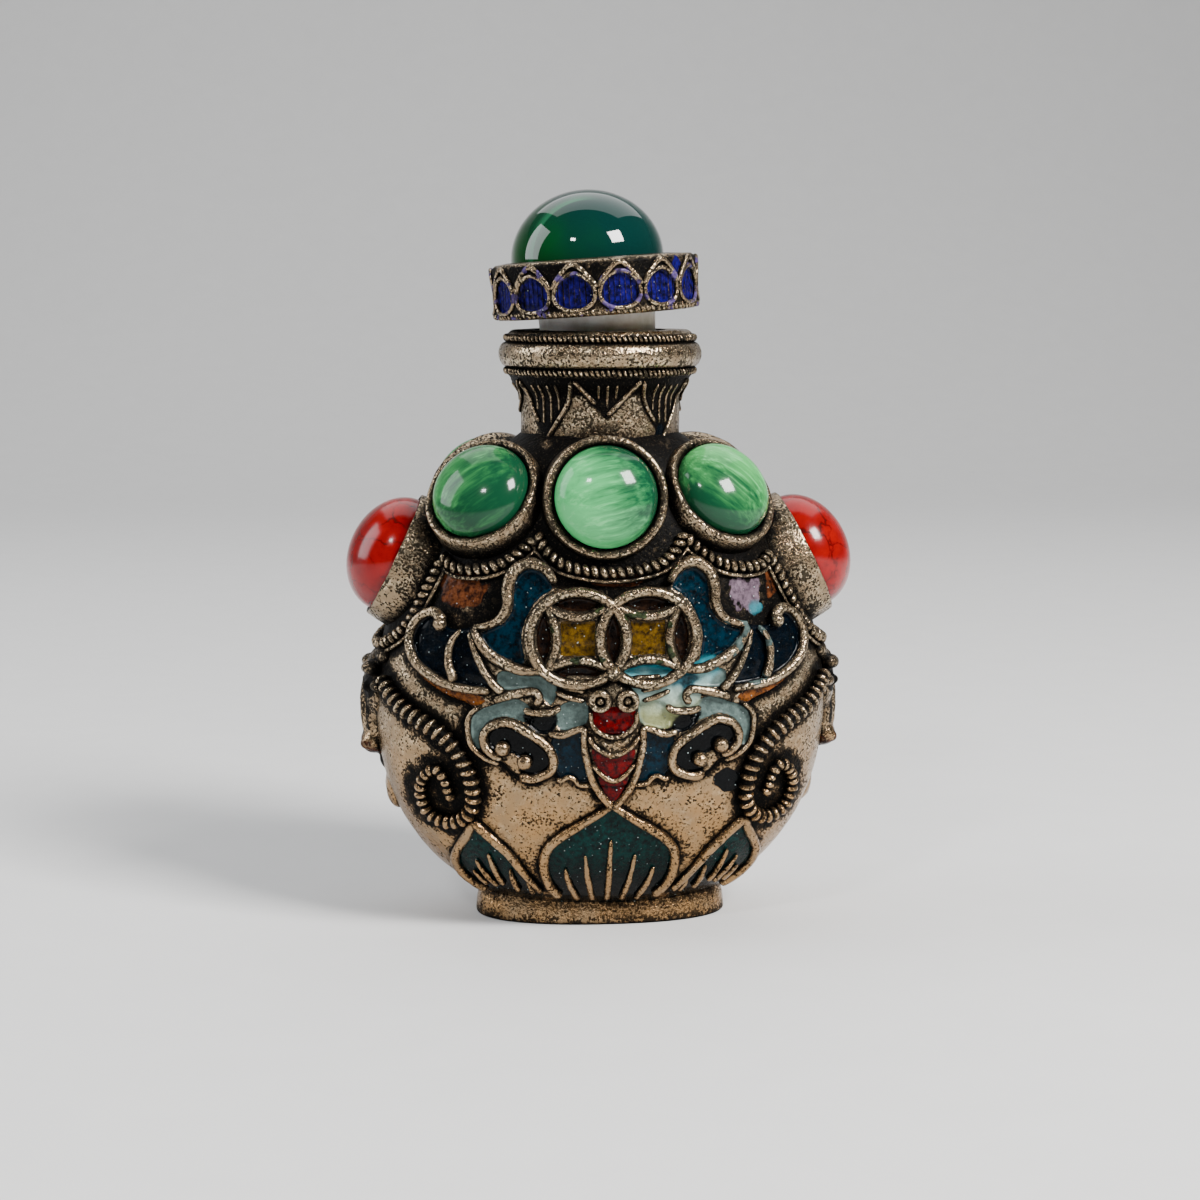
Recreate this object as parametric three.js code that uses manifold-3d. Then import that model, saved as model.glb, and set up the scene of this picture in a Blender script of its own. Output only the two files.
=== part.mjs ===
import * as THREE from 'three';
import { mergeVertices } from 'three/addons/utils/BufferGeometryUtils.js';
import Module from 'manifold-3d';

// Flat cast snuff bottle, millimetres, +Z up, front towards -Y.
// The origin is the centre of the foot's underside.

// Driving dimensions of the bottle body
const BELLY = { z: 21, halfWidth: 20.7, halfDepth: 12.6 };
const LOWER = { reach: 20.8, power: 2.3 };
const UPPER = { reach: 26.2, widthPower: 1.65, depthPower: 2.4 };
const SECTION_POWER = 2.25;
const BODY_BOTTOM_Z = 1.6;
const BODY_TOP_Z = 46.4;
const BODY_RINGS = 12;
const BODY_STEPS = 28;
const WALL = 1.8;

// Foot, neck and collar
const FOOT = { halfWidth: 11.55, halfDepth: 6.4, height: 2.5, flare: 0.35, recess: 0.5, rim: 1.5 };
const NECK = { radius: 7.2, rootZ: 36, cavettoZ: 48.1 };
const COLLAR = { bottomZ: 49.6, topZ: 53.6, bulgeRadius: 9.2, ropeRadius: 8.75 };
const BORE_RADIUS = 6;
const ROUND_STEPS = 20;

// Cabochons: the radius that shows, the dome over the lip and the girdle under it
const GREEN = { radius: 4.5, dome: 2.9, girdle: 0.8, bezel: 5.4, flare: 0.35, root: 3.4 };
const RED = { radius: 5.4, dome: 4.3, girdle: 0.8, bezel: 5.95, flare: 0.45, root: 4 };
const LID_STONE = { radius: 6.9, dome: 6.2, girdle: 1, x: -0.5 };
const CENTRE_STONE = { x: 0, y: 11.2, z: 39.4, turn: 0, rise: 12 };
const FRONT_ROW_SHIFT = -0.45;
const SIDE_STONE = { x: 10.7, y: 7.4, z: 39.6, turn: 33, rise: 35 };
const RED_STONE = { x: 18.6, y: 0, z: 33.3, turn: 90, rise: 25.8 };
const BEZEL_STEPS = 14;
const GAP = 0.3;

// Lid, lifted and tilted as it rests in the bore
const LID = { radius: 9.3, height: 5, lip: 0.35, tilt: 4, x: -0.3, bottomZ: 54.95 };
const STEM = { topRadius: 5.3, endRadius: 4.9, length: 8.6, socket: 1.2 };

// Raised ornament
const ROPE_RADIUS = 0.6;
const HORN_RADIUS = 0.85;
const COIN = { x: 3.05, z: 27.3, radius: 4.1, wire: 0.5 };
const BAT_LIFT = 0.9;
const WIRE = 0.48;

const wasm = await Module();
wasm.setup();

const METAL = { color: 0xb5a68a, roughness: 0.42, metalness: 0.9 };
const GREEN_GLASS = { color: 0x79c786, roughness: 0.15, metalness: 0 };
const RED_GLASS = { color: 0xc4161a, roughness: 0.25, metalness: 0 };
const DARK_GREEN_GLASS = { color: 0x0c5a35, roughness: 0.08, metalness: 0 };
const LID_METAL = { color: 0x8d83a6, roughness: 0.4, metalness: 0.8 };
const PLUG = { color: 0xd8cfc0, roughness: 0.6, metalness: 0 };

// Half width and half depth of the body at height z, with both axes cut back by inset
function bodyHalf(z, inset = 0) {
  const halfWidth = BELLY.halfWidth - inset;
  const halfDepth = BELLY.halfDepth - inset;
  if (z < BELLY.z) {
    const down = Math.min(1, (BELLY.z - z) / (LOWER.reach - inset));
    const shrink = (1 - down ** LOWER.power) ** (1 / LOWER.power);
    return [halfWidth * shrink, halfDepth * shrink];
  }
  const up = Math.min(1, (z - BELLY.z) / (UPPER.reach - inset));
  const narrow = (1 - up ** UPPER.widthPower) ** (1 / UPPER.widthPower);
  const thin = (1 - up ** UPPER.depthPower) ** (1 / UPPER.depthPower);
  return [halfWidth * narrow, halfDepth * thin];
}

// A point on a superellipse; turn is 0 at the front (-Y) and 90 at +X
function superPoint(halfWidth, halfDepth, turn, z) {
  const s = Math.sin(THREE.MathUtils.degToRad(turn));
  const c = Math.cos(THREE.MathUtils.degToRad(turn));
  const power = 2 / SECTION_POWER;
  const x = halfWidth * Math.sign(s) * Math.abs(s) ** power;
  const y = -halfDepth * Math.sign(c) * Math.abs(c) ** power;
  return new THREE.Vector3(x, y, z);
}

function bodyPoint(turn, z, lift) {
  const [halfWidth, halfDepth] = bodyHalf(z);
  return superPoint(halfWidth + lift, halfDepth + lift, turn, z);
}

// A point on the front of the body, seen at x and z
function frontPoint(x, z, lift) {
  const [halfWidth, halfDepth] = bodyHalf(z);
  const across = Math.min(1, Math.abs(x) / (halfWidth + lift));
  const y = -(halfDepth + lift) * (1 - across ** SECTION_POWER) ** (1 / SECTION_POWER);
  return new THREE.Vector3(x, y, z);
}

// Closed skin through rings of points that all turn the same way
function loft(rings) {
  const steps = rings[0].length;
  const positions = [];
  const centres = [rings[0], rings.at(-1)].map((ring) => {
    const sum = ring.reduce((total, point) => total.add(point), new THREE.Vector3());
    return sum.divideScalar(steps);
  });
  [...rings.flat(), ...centres].forEach((point) => positions.push(...point.toArray()));
  const index = [];
  const bottomCentre = rings.length * steps;
  const topCentre = bottomCentre + 1;
  const topStart = (rings.length - 1) * steps;
  for (let step = 0; step < steps; step += 1) {
    const next = (step + 1) % steps;
    for (let ring = 0; ring < rings.length - 1; ring += 1) {
      const low = ring * steps;
      const high = low + steps;
      index.push(low + step, low + next, high + next);
      index.push(low + step, high + next, high + step);
    }
    index.push(bottomCentre, next, step);
    index.push(topCentre, topStart + step, topStart + next);
  }
  const geometry = new THREE.BufferGeometry();
  geometry.setAttribute('position', new THREE.Float32BufferAttribute(positions, 3));
  geometry.setIndex(index);
  return geometry;
}

function ring(halfWidth, halfDepth, z, steps = BODY_STEPS) {
  return Array.from({ length: steps }, (_, i) => superPoint(halfWidth, halfDepth, (i * 360) / steps, z));
}

// The body's skin pushed out by lift, or the hollow inside it with a lift of 0 and an inset
function bodySkin(bottomZ, topZ, lift, inset, rings, steps) {
  return loft(Array.from({ length: rings }, (_, i) => {
    const along = (1 - Math.cos((Math.PI * i) / (rings - 1))) / 2;
    const z = bottomZ + (topZ - bottomZ) * along;
    const [halfWidth, halfDepth] = bodyHalf(z, inset);
    return ring(halfWidth + lift, halfDepth + lift, z, steps);
  }));
}

function lathe(profile, steps = ROUND_STEPS) {
  const points = profile.map(([radius, z]) => new THREE.Vector2(radius, z));
  return new THREE.LatheGeometry(points, steps).rotateX(Math.PI / 2);
}

function tube(points, radius, steps) {
  const section = new THREE.Shape().absarc(0, 0, radius, 0, Math.PI * 2);
  const path = new THREE.CatmullRomCurve3(points, false, 'catmullrom', 0.5);
  const settings = { steps, curveSegments: 2, extrudePath: path, bevelEnabled: false };
  return new THREE.ExtrudeGeometry(section, settings);
}

function toSolid(geometry) {
  geometry.deleteAttribute('normal');
  geometry.deleteAttribute('uv');
  const merged = mergeVertices(geometry, 1e-4);
  return new wasm.Manifold(new wasm.Mesh({
    numProp: 3,
    vertProperties: new Float32Array(merged.attributes.position.array),
    triVerts: new Uint32Array(merged.index.array),
  }));
}

function toGeometry(solid) {
  const mesh = solid.getMesh();
  const geometry = new THREE.BufferGeometry();
  geometry.setAttribute('position', new THREE.BufferAttribute(mesh.vertProperties, 3));
  geometry.setIndex(new THREE.BufferAttribute(mesh.triVerts, 1));
  return geometry;
}

function frontAndBack(geometry) {
  return [toSolid(geometry.clone()), toSolid(geometry.clone().rotateZ(Math.PI))];
}

// Turns a shape built along +Z to face out of the body at a stone's place; the front row sits a little left
function seat(geometry, place, xSign, ySign) {
  const turn = THREE.MathUtils.degToRad(place.turn);
  const rise = THREE.MathUtils.degToRad(place.rise);
  const normal = new THREE.Vector3(
    xSign * Math.sin(turn) * Math.cos(rise),
    -ySign * Math.cos(turn) * Math.cos(rise),
    Math.sin(rise),
  );
  const spin = new THREE.Quaternion().setFromUnitVectors(new THREE.Vector3(0, 0, 1), normal);
  geometry.applyQuaternion(spin);
  const shift = ySign > 0 && place !== RED_STONE ? FRONT_ROW_SHIFT : 0;
  return geometry.translate(xSign * place.x + shift, -ySign * place.y, place.z);
}

// Every stone on the body: name, size, place and the side it is on
function bodyStones() {
  const stones = [];
  for (const [face, ySign] of [['front', 1], ['back', -1]]) {
    stones.push({ name: `green_stone_${face}_centre`, size: GREEN, place: CENTRE_STONE, xSign: 1, ySign });
    stones.push({ name: `green_stone_${face}_left`, size: GREEN, place: SIDE_STONE, xSign: -1, ySign });
    stones.push({ name: `green_stone_${face}_right`, size: GREEN, place: SIDE_STONE, xSign: 1, ySign });
  }
  stones.push({ name: 'red_stone_left', size: RED, place: RED_STONE, xSign: -1, ySign: 1 });
  stones.push({ name: 'red_stone_right', size: RED, place: RED_STONE, xSign: 1, ySign: 1 });
  return stones;
}

// A domed stone with its lip plane at z = 0
function cabochon(size, steps, rows) {
  const profile = [[0, -size.girdle], [size.radius, -size.girdle]];
  for (let row = 0; row < rows; row += 1) {
    const angle = (Math.PI / 2) * (row / rows);
    profile.push([size.radius * Math.cos(angle), size.dome * Math.sin(angle)]);
  }
  profile.push([0, size.dome]);
  return lathe(profile, steps);
}

function bezel(size) {
  return lathe([[0, -size.root], [size.bezel + size.flare, -size.root], [size.bezel, 0], [0, 0]], BEZEL_STEPS);
}

function pocket(size) {
  const radius = size.radius + GAP;
  const floor = -size.girdle - GAP;
  return lathe([[0, floor], [radius, floor], [radius, size.dome], [0, size.dome]], BEZEL_STEPS);
}

function neckAndCollar() {
  const { radius } = NECK;
  const { bottomZ, topZ, bulgeRadius, ropeRadius } = COLLAR;
  return lathe([[0, NECK.rootZ], [radius, NECK.rootZ], [radius, NECK.cavettoZ - 1],
    [radius + 0.15, NECK.cavettoZ], [radius + 0.75, bottomZ - 0.4],
    [ropeRadius - 0.35, bottomZ - 0.1], [ropeRadius, bottomZ + 0.3], [ropeRadius - 0.25, bottomZ + 0.75],
    [bulgeRadius - 0.2, bottomZ + 0.95], [bulgeRadius, bottomZ + 1.7], [bulgeRadius - 0.2, bottomZ + 2.5],
    [ropeRadius - 0.3, bottomZ + 2.95], [ropeRadius, bottomZ + 3.4], [ropeRadius - 0.4, topZ], [0, topZ]]);
}

// The flared foot, with a shallow recess that leaves a flat rim to stand on
function foot() {
  const { halfWidth, halfDepth, height, flare, recess, rim } = FOOT;
  const block = toSolid(loft([ring(halfWidth, halfDepth, 0), ring(halfWidth - flare, halfDepth - flare, height)]));
  const inner = [halfWidth - rim, halfDepth - rim];
  return block.subtract(toSolid(loft([ring(...inner, -1), ring(...inner, recess)])));
}

// The hollow: the body's own shape set in by the wall, open through the neck
function hollow() {
  const bottomZ = BELLY.z - LOWER.reach + WALL + 0.6;
  const topZ = BELLY.z + UPPER.reach - WALL - 0.9;
  const belly = toSolid(bodySkin(bottomZ, topZ, 0, WALL, 7, 16));
  const bore = toSolid(lathe([[0, 38], [BORE_RADIUS, 38], [BORE_RADIUS, 60], [0, 60]]));
  return belly.add(bore);
}

// Rope swags under the stones, by turn from the front and height
const CENTRE_SWAG = [[0, 32.9], [11, 33.5], [17, 34.6], [21, 35.9]];
const STONE_SWAG = [[23, 35.5], [28, 34.1], [34, 33.3], [41, 33], [49, 33.1], [56, 33.8]];
const SIDE_SWAG = [[57, 33.2], [58, 31.4], [59.5, 29.6], [62, 28], [67, 26.8], [76, 25.8], [90, 25.4]];

function swag(points, steps) {
  return tube(points.map(([turn, z]) => bodyPoint(turn, z, 0.35)), ROPE_RADIUS, steps);
}

function garland() {
  const mirror = ([turn, z]) => [-turn, z];
  const behind = ([turn, z]) => [180 - turn, z];
  const centre = [...CENTRE_SWAG.slice(1).reverse().map(mirror), ...CENTRE_SWAG];
  const side = [...SIDE_SWAG, ...SIDE_SWAG.slice(0, -1).reverse().map(behind)];
  return [swag(centre, 6), swag(STONE_SWAG, 4), swag(STONE_SWAG.map(mirror), 4), swag(side, 10)]
    .flatMap(frontAndBack);
}

// Curled, ridged horns on the front and back, by x and height
const HORN = [[19.6, 22.3], [18.2, 20.5], [16.6, 19.5], [15, 18.5], [13.6, 17.2], [12.7, 15.6], [12.2, 13.8],
  [12.2, 12], [13.1, 10.7], [14.5, 10.3], [16, 11], [16.7, 12.8], [16.4, 14.4], [15.4, 15.2], [14.6, 14.2]];

function horns() {
  return [-1, 1].flatMap((side) => {
    const path = HORN.map(([x, z]) => frontPoint(side * x, z, 0.45));
    return frontAndBack(tube(path, HORN_RADIUS, 14));
  });
}

// A ram's head on each side: brow, muzzle and the beard below
const RAM = [
  { at: [20.1, 0, 20.9], half: [1.9, 4.4, 4.3] },
  { at: [20.3, 0, 17], half: [1.7, 2.7, 2.6] },
  { at: [18.6, 0, 12.4], half: [1.3, 2.1, 2.6] },
];

function ramHeads() {
  return RAM.flatMap(({ at, half }) => [-1, 1].map((side) => {
    const lump = new THREE.SphereGeometry(1, 8, 5).rotateX(Math.PI / 2).scale(...half);
    return toSolid(lump.translate(side * at[0], at[1], at[2]));
  }));
}

// Lotus petals round the lower body, one side of each outline; the front ones have a sunk field
const PETAL = [[0, 12.4], [2.1, 10.5], [5, 8.8], [6.1, 6.4], [4.9, 3]];
const PETAL_FIELD = [[0, 10.9], [2.4, 9.1], [4.8, 7.4], [4.4, 3.8]];
const SIDE_PETAL = { turn: 52, drop: 1.2 };
const PETAL_LIFT = 0.55;

function symmetricShape(half) {
  const left = half.filter(([x]) => x > 0).reverse().map(([x, z]) => [-x, z]);
  return new THREE.Shape([...half, ...left].map(([x, z]) => new THREE.Vector2(x, z)));
}

// A slab from the middle of the body out to the front, with an outline drawn in x and height
function frontSlab(half) {
  const slab = new THREE.ExtrudeGeometry(symmetricShape(half), { depth: 14, bevelEnabled: false });
  return slab.rotateX(Math.PI / 2).translate(0, -4, 0);
}

function skinAt(lift) {
  return toSolid(bodySkin(BODY_BOTTOM_Z, BODY_TOP_Z, lift, 0, BODY_RINGS, BODY_STEPS));
}

function petals() {
  const skin = skinAt(PETAL_LIFT);
  return [-1, 0, 1].flatMap((side) => {
    const place = (slab) => {
      const turn = THREE.MathUtils.degToRad(side * SIDE_PETAL.turn);
      return slab.rotateZ(turn).translate(0, 0, -Math.abs(side) * SIDE_PETAL.drop);
    };
    const [front, back] = frontAndBack(place(frontSlab(PETAL)));
    const field = toSolid(place(frontSlab(PETAL_FIELD)));
    return [front.subtract(field), back].map((petal) => petal.intersect(skin));
  });
}

// The bat's outline from the notch between its coins to the tip of its body, one side
const BAT_OUTLINE = [[0, 30.4], [1.4, 31.1], [3.8, 31.6], [5, 32.2], [5.8, 33.5], [7.3, 33.8], [8.6, 33],
  [9.2, 31], [9.6, 29.3], [11, 28.3], [12.8, 27.7], [14.1, 27.7], [14.8, 29], [16.2, 28.9], [17.2, 27.3],
  [17.2, 25.4], [16.2, 23.4], [14.3, 22.2], [12.2, 21.2], [12.6, 18.9], [11.4, 16.9], [9.3, 16.2], [7.9, 14.9],
  [6.2, 14.7], [5, 15.2], [3.8, 14.8], [2.4, 14.4], [1.2, 13.4], [0, 12.3]];

function batPlate() {
  const skin = skinAt(BAT_LIFT);
  return frontAndBack(frontSlab(BAT_OUTLINE)).map((solid) => solid.intersect(skin));
}

// Raised wires on the bat's front, one side: the claw, the outer curl and the scroll under the wing
const BAT_WIRES = [
  [[11.3, 28.1], [11.2, 26.8], [10.2, 25.6], [8.8, 25], [6.6, 24.6]],
  [[14.6, 28.3], [15.6, 29], [16.8, 27.9], [17, 25.9], [16.2, 24.1], [13.9, 22.8], [10.8, 22.6]],
  [[11.3, 18.9], [10.5, 19.9], [9.1, 19.9], [7.5, 19], [6.1, 18.3], [5.3, 17.2], [5.3, 15.9], [6.4, 15]],
];

function batWires() {
  return BAT_WIRES.flatMap((wire) => [-1, 1].map((side) => {
    const path = wire.map(([x, z]) => frontPoint(side * x, z, BAT_LIFT + 0.15));
    return toSolid(tube(path, WIRE, wire.length));
  }));
}

// Two overlapping coins, each a raised ring
function coins() {
  return [-1, 1].flatMap((side) => {
    const centre = frontPoint(side * COIN.x, COIN.z, BAT_LIFT + 0.25);
    const circle = new THREE.TorusGeometry(COIN.radius, COIN.wire, 4, 14).rotateX(Math.PI / 2);
    return frontAndBack(circle.translate(centre.x, centre.y, centre.z));
  });
}

// The bat's head and body
const BAT_LUMPS = [
  { at: [0, 22.6], half: [2.2, 1, 1.6] },
  { at: [0, 17.4], half: [2.2, 1, 3.8] },
];

function batLumps() {
  return BAT_LUMPS.flatMap(({ at, half }) => {
    const lump = new THREE.SphereGeometry(1, 8, 5).rotateX(Math.PI / 2).scale(...half);
    const place = frontPoint(at[0], at[1], BAT_LIFT);
    return frontAndBack(lump.translate(place.x, place.y, place.z));
  });
}

function bottleBody() {
  const stones = bodyStones();
  const bezels = stones.map((s) => toSolid(seat(bezel(s.size), s.place, s.xSign, s.ySign)));
  const pockets = stones.map((s) => toSolid(seat(pocket(s.size), s.place, s.xSign, s.ySign)));
  const skin = toSolid(bodySkin(BODY_BOTTOM_Z, BODY_TOP_Z, 0, 0, BODY_RINGS, BODY_STEPS));
  const added = [toSolid(neckAndCollar()), foot(), ...bezels, ...garland(), ...horns(), ...ramHeads(),
    ...petals(), ...batPlate(), ...batWires(), ...coins(), ...batLumps()];
  const whole = added.reduce((solid, piece) => solid.add(piece), skin);
  return pockets.reduce((solid, piece) => solid.subtract(piece), whole).subtract(hollow());
}

// The lid's metal ring, its underside at z = 0, with a seat above and a socket below
function lidRing() {
  const { radius, height, lip } = LID;
  const stoneFloor = height - LID_STONE.girdle - GAP;
  const stoneWall = LID_STONE.radius + GAP;
  const socketWall = STEM.topRadius + GAP;
  const outside = lathe([[0, 0], [radius - lip, 0], [radius, lip], [radius, height - lip],
    [radius - lip, height], [0, height]], 28);
  const stoneSeat = lathe([[0, stoneFloor], [stoneWall, stoneFloor], [stoneWall, height + 1], [0, height + 1]])
    .translate(LID_STONE.x, 0, 0);
  const socketTop = STEM.socket + GAP;
  const socket = lathe([[0, -1], [socketWall, -1], [socketWall, socketTop], [0, socketTop]]);
  return toSolid(outside).subtract(toSolid(stoneSeat)).subtract(toSolid(socket));
}

function stem() {
  const { topRadius, endRadius, length, socket } = STEM;
  return lathe([[0, socket - length], [endRadius - 0.4, socket - length], [endRadius, socket - length + 0.5],
    [topRadius, 0], [topRadius, socket], [0, socket]]);
}

function named(name, geometry, look) {
  const mesh = new THREE.Mesh(geometry, new THREE.MeshStandardMaterial(look));
  mesh.name = name;
  return mesh;
}

const bottle = new THREE.Group();
bottle.add(named('bottle_body', toGeometry(bottleBody()), METAL));
for (const { name, size, place, xSign, ySign } of bodyStones()) {
  const look = size === RED ? RED_GLASS : GREEN_GLASS;
  bottle.add(named(name, seat(cabochon(size, 14, 3), place, xSign, ySign), look));
}

const lid = new THREE.Group();
lid.position.set(LID.x, 0, LID.bottomZ);
lid.rotation.y = THREE.MathUtils.degToRad(-LID.tilt);
const lidStone = named('lid_stone', cabochon(LID_STONE, 24, 5), DARK_GREEN_GLASS);
lidStone.position.set(LID_STONE.x, 0, LID.height);
lid.add(named('lid_ring', toGeometry(lidRing()), LID_METAL), lidStone, named('stopper_stem', stem(), PLUG));
bottle.add(lid);

export default bottle;
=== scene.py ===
"""Flat cast metal snuff bottle with bat relief, enamel and cabochon stones, on a pale floor."""

import math

import bmesh
import bpy
import numpy as np
from bpy.props import FloatProperty, FloatVectorProperty, IntProperty, PointerProperty
from mathutils import Matrix, Vector, noise


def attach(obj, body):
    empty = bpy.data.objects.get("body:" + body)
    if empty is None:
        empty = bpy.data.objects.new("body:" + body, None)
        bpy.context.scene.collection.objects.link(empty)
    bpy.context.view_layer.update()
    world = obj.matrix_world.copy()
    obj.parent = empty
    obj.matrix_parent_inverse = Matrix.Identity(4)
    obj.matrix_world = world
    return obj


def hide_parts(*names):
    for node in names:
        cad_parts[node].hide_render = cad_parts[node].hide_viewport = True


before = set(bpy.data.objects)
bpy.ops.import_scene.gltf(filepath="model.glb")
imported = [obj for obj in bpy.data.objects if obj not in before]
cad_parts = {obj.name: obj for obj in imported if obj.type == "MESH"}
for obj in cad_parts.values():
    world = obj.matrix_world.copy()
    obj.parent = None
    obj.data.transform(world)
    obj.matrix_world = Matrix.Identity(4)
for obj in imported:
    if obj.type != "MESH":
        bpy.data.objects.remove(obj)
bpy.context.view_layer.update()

bl_info = {
    "name": "Cast snuff bottle",
    "version": (1, 0, 0),
    "blender": (4, 5, 0),
    "location": "3D View > Sidebar > Bottle",
    "description": "Builds a cast snuff bottle with relief, enamel and cabochons around its packed solids",
    "category": "Object",
}

# Sizes are in millimetres and turned into metres as a mesh is made; +Z is up, the front faces -Y
MM = 0.001

# The body's form, as in the solids
BELLY_Z, BELLY_HALF_WIDTH, BELLY_HALF_DEPTH = 21.0, 20.7, 12.6
LOWER_REACH, LOWER_POWER = 20.8, 2.3
UPPER_REACH, UPPER_WIDTH_POWER, UPPER_DEPTH_POWER = 26.2, 1.65, 2.4
SECTION_POWER = 2.25
BODY_BOTTOM_Z, BODY_TOP_Z = 1.6, 46.4
WALL = 1.8
BORE_RADIUS = 6.0
# Steps round and up on the outer skin and on the room inside
SKIN_STEPS, ROOM_STEPS = (430, 190), (96, 48)

FOOT = {"half_width": 11.55, "half_depth": 6.4, "height": 2.5, "flare": 0.35, "recess": 0.5, "rim": 1.5}
NECK_RADIUS, NECK_FOOT_Z, CAVETTO_Z = 7.2, 43.0, 48.1
COLLAR = {"bottom": 49.6, "top": 53.6, "bulge": 9.2, "rope": 8.6}

LID = {"radius": 9.3, "height": 5.0, "tilt": 4.0, "x": -0.3, "bottom": 54.95}
STEM = {"top": 5.3, "end": 4.9, "length": 8.6, "socket": 1.2}
LID_STONE = {"radius": 6.9, "dome": 6.2, "girdle": 1.0, "x": -0.5}

GREEN = {"radius": 4.5, "dome": 2.9, "girdle": 0.8, "bezel": 5.4, "flare": 0.35, "root": 3.4}
RED = {"radius": 5.4, "dome": 4.3, "girdle": 0.8, "bezel": 5.95, "flare": 0.45, "root": 4.0}
CENTRE_STONE = {"x": 0.0, "y": 11.2, "z": 39.4, "turn": 0.0, "rise": 12.0}
FRONT_ROW_SHIFT = -0.45
SIDE_STONE = {"x": 10.7, "y": 7.4, "z": 39.6, "turn": 33.0, "rise": 35.0}
RED_STONE = {"x": 18.6, "y": 0.0, "z": 33.3, "turn": 90.0, "rise": 25.8}

# Turn of the front stones' silk, in radians, and the light and shade painted on each: slopes right and up,
# and a level
FRONT_SILK_AND_LIGHT = {
    "green_stone_front_left": (1.4, (-0.2, 0.3, 0.33)),
    "green_stone_front_centre": (1.35, (-0.5, -0.2, 0.54)),
    "green_stone_front_right": (1.85, (0.05, 0.55, 0.55)),
}
# Painted light and shade for the other stones: slopes right and up, and a level
PLAIN_PAINTED_LIGHT = (0.1, -0.25, 0.42)

# The bat's plate, one side of its outline in x and height
BAT_OUTLINE = [(0, 30.6), (1.4, 31.4), (3.4, 31.8), (4.9, 31.9), (5.9, 33.3), (7.2, 33.9), (8.6, 33.1),
    (9.2, 31.4), (9.5, 29.5), (11, 28.5), (12.8, 27.9), (14.1, 27.9), (14.6, 29.1), (15.6, 29.5),
    (16.7, 28.8), (17.6, 27.3), (17.6, 25.2), (16.6, 23.5), (14.6, 22.1), (12.2, 21.1), (12.8, 19.6),
    (12.5, 17.9), (11.2, 16.5), (9.6, 16.2), (8.7, 15.3), (7.2, 14.6), (5.9, 14.9), (5, 15.4), (4.6, 14.7),
    (3.8, 15), (2.9, 14.4), (1.8, 14.4), (1.1, 13.3), (0, 12.2)]

# Raised wires of the bat's front, one side: half widths along each, then its points in x and height
WING_WIRES = [
    ([0.3, 0.55, 0.55, 0.4, 0.28], [(4.9, 32), (5.9, 33.35), (7.2, 33.75), (8.5, 33), (9.05, 31.5),
        (9.1, 30.1), (9.8, 28.9), (11, 28.3), (12.1, 28.1)]),
    ([0.42, 0.5, 0.5, 0.35], [(5.8, 24.6), (7.8, 24.5), (9.4, 25.1), (10.7, 25.9), (11.6, 27),
        (12.05, 28.1)]),
    ([0.26, 0.36, 0.42], [(12.4, 27.7), (11.95, 26.2), (11.2, 24.5), (10.3, 23.2), (9.5, 22.5)]),
    ([0.2, 0.36, 0.45], [(13.1, 27.9), (14, 26.6), (14.2, 25), (13.7, 23.2)]),
    ([0.6, 0.4, 0.44, 0.46, 0.46, 0.42, 0.34], [(14.6, 28.3), (15.3, 29.2), (16.5, 28.8), (17.4, 27.5),
        (17.5, 25.8), (16.7, 24.4), (15, 23.35), (13.2, 22.8), (10.6, 22.6)]),
    ([0.34, 0.42, 0.4, 0.36], [(10.4, 21.8), (8.7, 22.4), (6.9, 22.7), (6.4, 22.1), (6.8, 21.4)]),
    ([0.3, 0.36, 0.3], [(7.8, 21.1), (6.9, 20.8), (5.3, 20.9), (4.6, 21.4)]),
    ([0.3, 0.34, 0.28], [(5.7, 19), (4.5, 18.8), (3.5, 19.2), (2.5, 19.5)]),
    ([0.2, 0.27, 0.24], [(11.6, 21.2), (12.3, 20.6), (12.6, 19.8), (12.5, 18.6), (12.1, 17.5), (11, 16.6),
        (9.9, 16.2)]),
    ([0.36, 0.4, 0.42, 0.42, 0.4], [(9.6, 16.9), (10.1, 16.8), (10.7, 17.2), (11.2, 17.9), (11.2, 18.8),
        (10.5, 19.6), (9.1, 19.9), (7.7, 19.2), (6.6, 18.5), (5.6, 17.7), (5.2, 16.6), (5.4, 15.7),
        (6.3, 15.1), (7.3, 14.9), (8.1, 15.2)]),
    ([0.3, 0.32, 0.28], [(5.8, 24.4), (5, 24), (4.2, 23.2), (2.4, 22.7)]),
    ([0.28, 0.3, 0.26], [(0.8, 23.6), (2.2, 23.8), (4.2, 23.9)]),
    ([0.22, 0.28, 0.22], [(5, 22.7), (3.9, 22.2), (2.5, 21.8)]),
    ([0.2, 0.25, 0.2], [(4.9, 15), (4.6, 14.75), (3.9, 15.1), (3.3, 14.8), (2.9, 14.4), (1.7, 14.4)]),
    ([0.28, 0.34, 0.34, 0.34], [(2.5, 19.6), (2.6, 18.4), (2.4, 16.9), (1.8, 14.8), (0.9, 13.3), (0, 12.3)]),
]
SHIELD_RIMS = [[(-2.3, 18.8), (-1.4, 17.7), (0, 17.1), (1.4, 17.7), (2.3, 18.8)],
    [(-1.9, 16.3), (-1, 15.3), (0, 14.8), (1, 15.3), (1.9, 16.3)],
    [(-2, 21), (-1.9, 19.9), (-1.2, 19.1), (0, 18.7), (1.2, 19.1), (1.9, 19.9), (2, 21)]]
SHIELD_RIM = 0.24
SCROLL_BALLS = [(9.6, 17.6, 0.68), (7.7, 16.4, 0.68), (14.9, 28.2, 0.62)]
COIN = {"x": 3.05, "z": 27.3, "wide": 4.22, "high": 4.02, "wire": 0.47, "arc": 1.85, "reach": 2.9}
EYE = {"x": 1.2, "z": 21.9, "radius": 0.72, "wire": 0.3}
NOSE = (0.0, 24.3, 0.68)
# Half width of the bat's body by height
TRUNK = {"z": [12.2, 13.5, 16, 18.5, 21], "half_width": [0.3, 1.2, 2.3, 2.7, 2.4]}
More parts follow.
